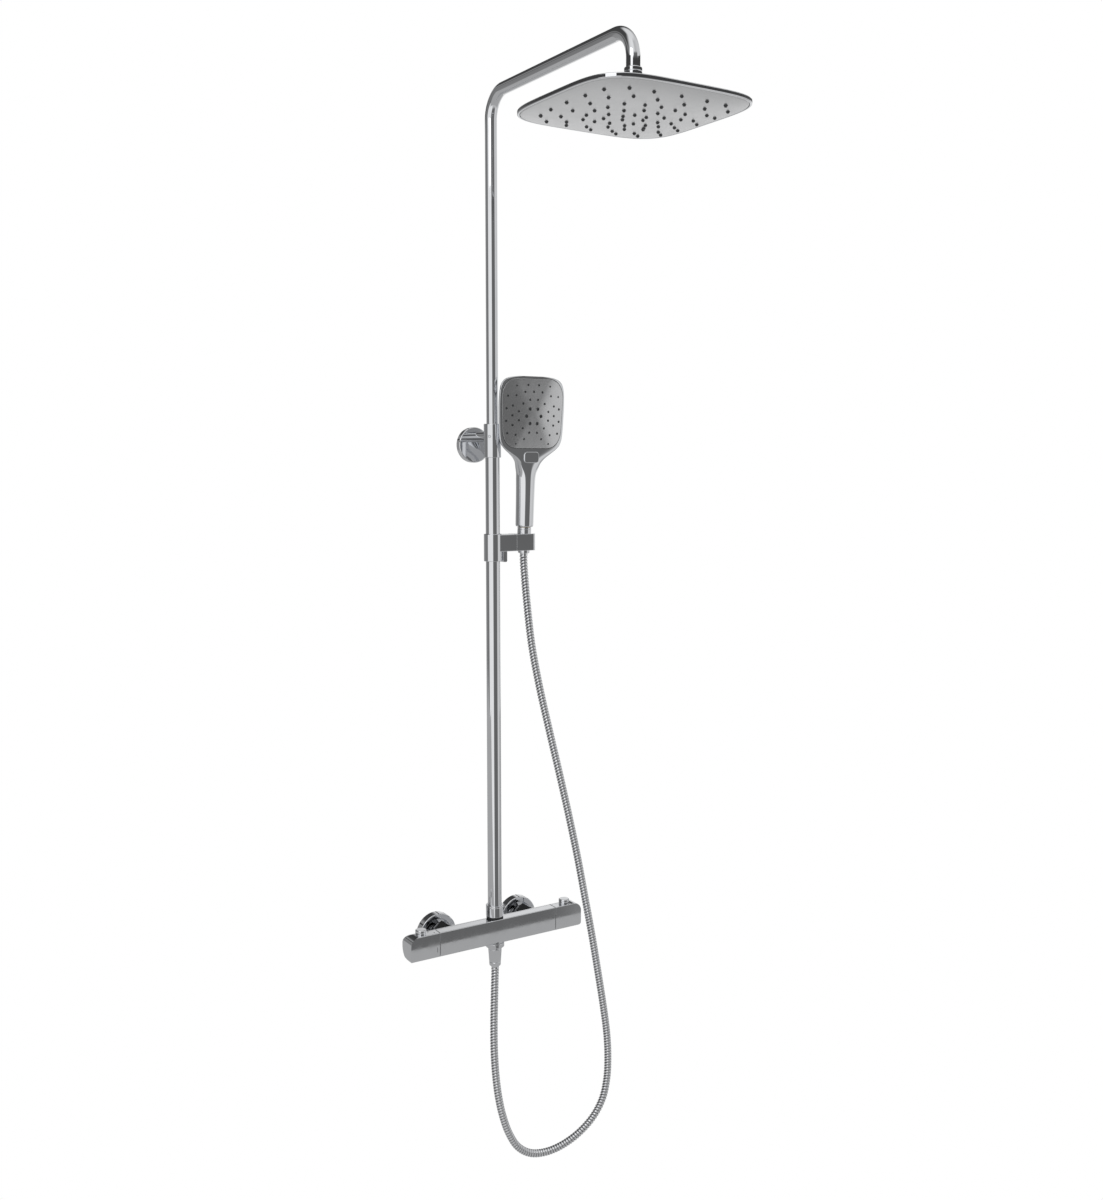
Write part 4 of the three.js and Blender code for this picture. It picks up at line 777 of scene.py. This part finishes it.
def cradle_plan(z):
    """The block's plan at a height: rounded outer corners, a slot from the outer end and a
    round bore, which follows the nut's cone with 0.45 to spare and moves forward with height."""
    up = z - SEAT[2]
    radius = NUT_RADIUS - 0.057 * max(0, 14 - up) + 0.45
    centre = np.array([SEAT[0], AXIS_Y - math.tan(LEAN) * up])
    outer = filleted([(CRADLE_START, FAR), (CRADLE_START, NEAR), (CRADLE_END, NEAR),
                      (CRADLE_END, AXIS_Y - SLOT_HALF)], [1, 0.3, 4.6, 0.6], False, 9)[1:]
    half = math.asin(SLOT_HALF / radius)
    t = np.linspace(2 * np.pi - half, half, 61)
    bore = centre + radius * np.stack([np.cos(t), np.sin(t)], -1)
    back = filleted([(CRADLE_END, AXIS_Y + SLOT_HALF), (CRADLE_END, FAR), (CRADLE_START, FAR),
                     (CRADLE_START, AXIS_Y - 12)], [0.6, 4.6, 0.3, 1], False, 9)[:-1]
    return np.vstack([outer, bore, back])


made = prism(cradle_plan, BLOCK_LOW, BLOCK_TOP, 0.7, "cradle_block", "cradle", chrome, "cradle", 50)

# ---- Hand shower --------------------------------------------------------------------------
# One chromed ABS shell: a round handle that opens out into a wide spray head, flat in front
# and domed behind. It stands in the cradle on the conical nut of its hose.
# Stations up the shell, as (height, half width, front depth, back depth).
STATIONS = np.array([
    (0, 12.6, 12.6, 12.6), (0.5, 13.4, 13.4, 13.4), (2, 13.9, 13.9, 13.9), (20, 14.1, 14, 14),
    (45, 14.4, 14.2, 14.2), (80, 15.5, 14.5, 14.5), (92, 19, 14.8, 14.9), (99, 21.5, 15, 15.3),
    (106, 27, 15.3, 15.8), (113, 36, 15.5, 16), (120, 45.5, 15.5, 16), (127, 52, 15.5, 15.8),
    (137, 55.5, 15.5, 15.4), (154, 57, 15.5, 14.6), (171, 57.6, 15.5, 13.4), (188, 58, 15.5, 11.8),
    (205, 57.4, 15.5, 9.6), (217, 55, 15.5, 7.2), (225, 49, 15.5, 5), (229, 39, 15.3, 2.8),
    (231, 24, 15, 0.5)])
HANDLE_FOOT = 24.3                # bottom of the handle above the seat
SHELL_TOP = STATIONS[-1, 0]
HEAD_START, HEAD_FULL = 72, 127   # where the handle starts to open out, and ends


def eased(at):
    """Half width, front and back at heights: cubics through the stations, with the slope at
    each station the harmonic mean of its neighbours' and zero at a peak."""
    x, y = STATIONS[:, 0], STATIONS[:, 1:]
    h, d = np.diff(x), np.diff(y, axis=0) / np.diff(x)[:, None]
    w1, w2 = (2 * h[1:] + h[:-1])[:, None], (h[1:] + 2 * h[:-1])[:, None]
    same = d[:-1] * d[1:] > 0
    safe = np.where(same, d[:-1] * d[1:], 1)
    slope = np.where(same, (w1 + w2) * safe / np.where(same, w1 * d[1:] + w2 * d[:-1], 1), 0)
    slope = np.vstack([d[:1], slope, d[-1:]])
    i = np.clip(np.searchsorted(x, at, "right") - 1, 0, len(h) - 1)
    t, g = ((at - x[i]) / h[i])[:, None], h[i][:, None]
    return ((1 + 2 * t) * (1 - t)**2 * y[i] + t * (1 - t)**2 * g * slope[i]
            + t * t * (3 - 2 * t) * y[i + 1] + t * t * (t - 1) * g * slope[i + 1])


def opened(height):
    """0 on the handle, 1 where the spray head has its full depth, smooth between."""
    t = np.clip((height - HEAD_START) / (HEAD_FULL - HEAD_START), 0, 1)
    return t * t * (3 - 2 * t)


heights = np.concatenate([[0, 0.25, 0.5, 1, 2], np.linspace(4, 96, 24), np.linspace(98, 224, 64),
                          [225.5, 227, 228.2, 229.2, 230, 230.5, 230.8, SHELL_TOP]])
size = eased(heights)
wide, front, back = (size[:, i:i + 1] for i in range(3))
t = np.linspace(0, 2 * np.pi, 160, endpoint=False)[None]
c, s = np.cos(t), np.sin(t)
share = opened(heights)[:, None]
middle = -share * (front - 4)
# A power under 1 squares the front off, and one over 1 thins the back's edges.
flatness = 1 - 0.78 * share
power = np.where(s < 0, flatness, 1 + 0.7 * share)
depth = np.where(s < 0, front + middle, back - middle)
x = wide * np.sign(c) * np.abs(c) ** np.where(s < 0, flatness, 1)
y = middle + depth * np.sign(s) * np.abs(s) ** power
shell = np.stack(np.broadcast_arrays(x, y, heights[:, None] + HANDLE_FOOT), -1)
shell = np.concatenate([np.broadcast_to([[[0, 0, HANDLE_FOOT]]], shell[:1].shape), shell,
                        np.broadcast_to([[[0, -15, HANDLE_FOOT + SHELL_TOP]]], shell[:1].shape)])
made = piece("hand_shower_shell", leant(shell), "handset", chrome, "handset_shell", angle=50)


def face_plan(inset, count=26):
    """Front view of the spray plate, a rounded square a little narrower towards the handle:
    four straight edges joined by quadratic curves."""
    wide, low, high = 58 - inset, 118.5 + inset, SHELL_TOP - inset
    narrow, corner = wide - 3.4, 25
    right = [[(narrow - corner, low), (narrow - 3, low), (narrow + 1, low + corner)],
             [(wide, high - corner - 2), (wide - 3, high - 2), (wide - corner, high)]]
    t = np.linspace(0, 1, count)[:, None]
    curves = [(1 - t)**2 * np.array(a) + 2 * t * (1 - t) * np.array(b) + t**2 * np.array(c)
              for a, b, c in right]
    half = np.vstack(curves)
    return np.vstack([half, half[::-1] * [-1, 1]])


FACE_MIDDLE = 175.0
PLATE_FRONT, PLATE_CROWN = 15.9, 4.2     # how far the plate stands out, and its dome


def face_layer(inset, deep, proud, edge, crown=0.0):
    """The spray plate's outline between two depths ahead of the handle, its front edge
    rounded, rising by crown towards its middle; rings shrink to a point at the centre."""
    t = np.linspace(0, np.pi / 2, 6)
    steps = np.array([0.06, 3, 9, 17, 27, 36])
    sizes = np.concatenate([inset + edge * (1 - np.cos(t)), inset + edge + steps])
    level = np.concatenate([proud - edge + edge * np.sin(t), np.full(6, proud)])
    sizes, level = np.insert(sizes, 0, inset), np.insert(level, 0, deep)
    middle = np.array([0, FACE_MIDDLE])
    full = face_plan(inset)
    rings = np.stack([middle + (full - middle) * (1 - (k - inset) / 50) for k in sizes])
    swell = crown * (1 - ((rings - middle)**2).sum(-1) / ((full - middle)**2).sum(-1))
    y = -(level[:, None] + swell)
    grid = np.stack([rings[..., 0], y, rings[..., 1] + HANDLE_FOOT], -1)
    peak = [[[0, -(proud + crown), FACE_MIDDLE + HANDLE_FOOT]]]
    return np.concatenate([grid, np.broadcast_to(peak, grid[:1].shape)])


made = piece("hand_spray_gasket", leant(face_layer(2.9, 13, 15.58, 0.05)), "handset", rubber,
             "handset_nozzle_mat")
made = piece("hand_spray_plate", leant(face_layer(3.5, 13, PLATE_FRONT, 0.35, PLATE_CROWN)),
             "handset", satin, "handset_spray_face")
# Nozzles of the right half, as (across, height, half width), their mirror images, and one
# above the middle.
RIGHT = [(9.6, 218, 1.5), (29.6, 216.5, 1.5), (15.4, 207.3, 1.5), (31, 201.9, 1.5), (45, 200.9, 1.5),
         (7, 195.7, 1.5), (19.2, 189.8, 1.5), (36.8, 186.4, 1.5), (47, 182, 1.5), (7, 181.8, 2.2),
         (26.4, 177.9, 1.5), (12.8, 170.9, 2.2), (37.2, 171.6, 1.5), (26.2, 164.5, 1.5),
         (47.2, 163.1, 1.5), (6.4, 159.7, 2.2), (36.6, 157.1, 1.5), (19, 152.6, 1.5), (7, 145.9, 1.5),
         (45, 144.6, 1.5), (30.6, 142.2, 1.5), (15.4, 136, 1.5), (29.2, 128.6, 1.5)]
spots = np.array(RIGHT + [(-x, z, w) for x, z, w in RIGHT] + [(0, 207.8, 1.5)])


def on_face(points):
    """Points whose third number is height above the spray plate, stood on it and leant."""
    x, z, proud = np.moveaxis(points, -1, 0)
    away = (x / 54.5)**4 + ((z - FACE_MIDDLE) / 52.7)**4
    swell = PLATE_CROWN * (1 - np.sqrt(np.clip(away, 0, 1)))
    return leant(np.stack([x, -(PLATE_FRONT + swell + proud), z + HANDLE_FOOT], -1))


made = nozzles("hand_nozzles", spots[:, :2], on_face, 0.9, spots[:, 2], "handset", ())

# ---- Spray button -------------------------------------------------------------------------
# A rounded rectangular push button at the top of the handle changes the spray.
plan = filleted([(-13, 99.5), (13, 99.5), (13, 116.5), (-13, 116.5)], [5] * 4, steps=10)
places, insets = edged(12.5, 17.3, 0.9)
places, insets = places[-7:], insets[-7:]
rings = plan[None] + insets[:, None, None] * inward(plan)[None]
up = rings[..., 1] + HANDLE_FOOT
grid = np.stack(np.broadcast_arrays(rings[..., 0], -places[:, None], up), -1)
back_row = np.stack([plan[:, 0], np.full(len(plan), -12.5), plan[:, 1] + HANDLE_FOOT], -1)[None]
made = piece("spray_push_button", leant(np.vstack([back_row, grid])), "handset_button", chrome,
             "handset_button")

# ---- Upper hose nut -----------------------------------------------------------------------
# The other end of the hose: a longer conical nut that seats in the cradle's bore.
nut = turned(hose_nut(23.4, 10, 30.7), (0, 0, 0), NUT_EDGES, closed=True)
made = piece("upper_hose_nut", leant(nut), "handset", chrome, "hose_nut_upper")

# ---- Inner and fixing parts ---------------------------------------------------------------
# What is made elsewhere keeps its own shape and takes its finish here: brass cartridges, unions in a chrome
# darkened as painted shade, steel springs and screws, rubber seals, and nylon stops and bearings.
bare_brass = polish("bare_brass", (0.60, 0.46, 0.22), 1.0, 0.28, 0.07, 3, 0.05)
grey_nylon = polish("grey_nylon", (0.10, 0.104, 0.11), 0.0, 0.45, 0.06, 1.5, 0.08)
# Painted shade: a copy of the chrome with its colour darkened to 0.30, for the unions and their nuts between
# the bar and the wall.
chrome_in_painted_shade = polish("chrome_in_painted_shade", (0.30, 0.305, 0.315), 1.0, 0.12, 0.03, 8, 0.01)
FINISHES = [(chrome_in_painted_shade, "union_nut_left union_nut_right eccentric_union_left eccentric_union_right"),
            (bare_brass, "thermostatic_cartridge flow_cartridge telescope_plug arm_end_nipple handset_inlet"),
            (steel, "safety_button_spring eco_button_spring bracket_wall_plate bracket_wall_screw"
                    " lock_lever_pin cradle_pivot_screw"),
            (rubber, "inlet_filter_left inlet_filter_right telescope_seal ball_seat hose_washer_lower"
                     " hose_washer_upper"),
            (grey_nylon, "temperature_stop_ring flow_stop_ring telescope_bush handset_diverter_disc")]
for finish, names in FINISHES:
    for name in names.split():
        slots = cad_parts[name].data.materials
        if len(slots):
            slots[0] = finish
        else:
            slots.append(finish)
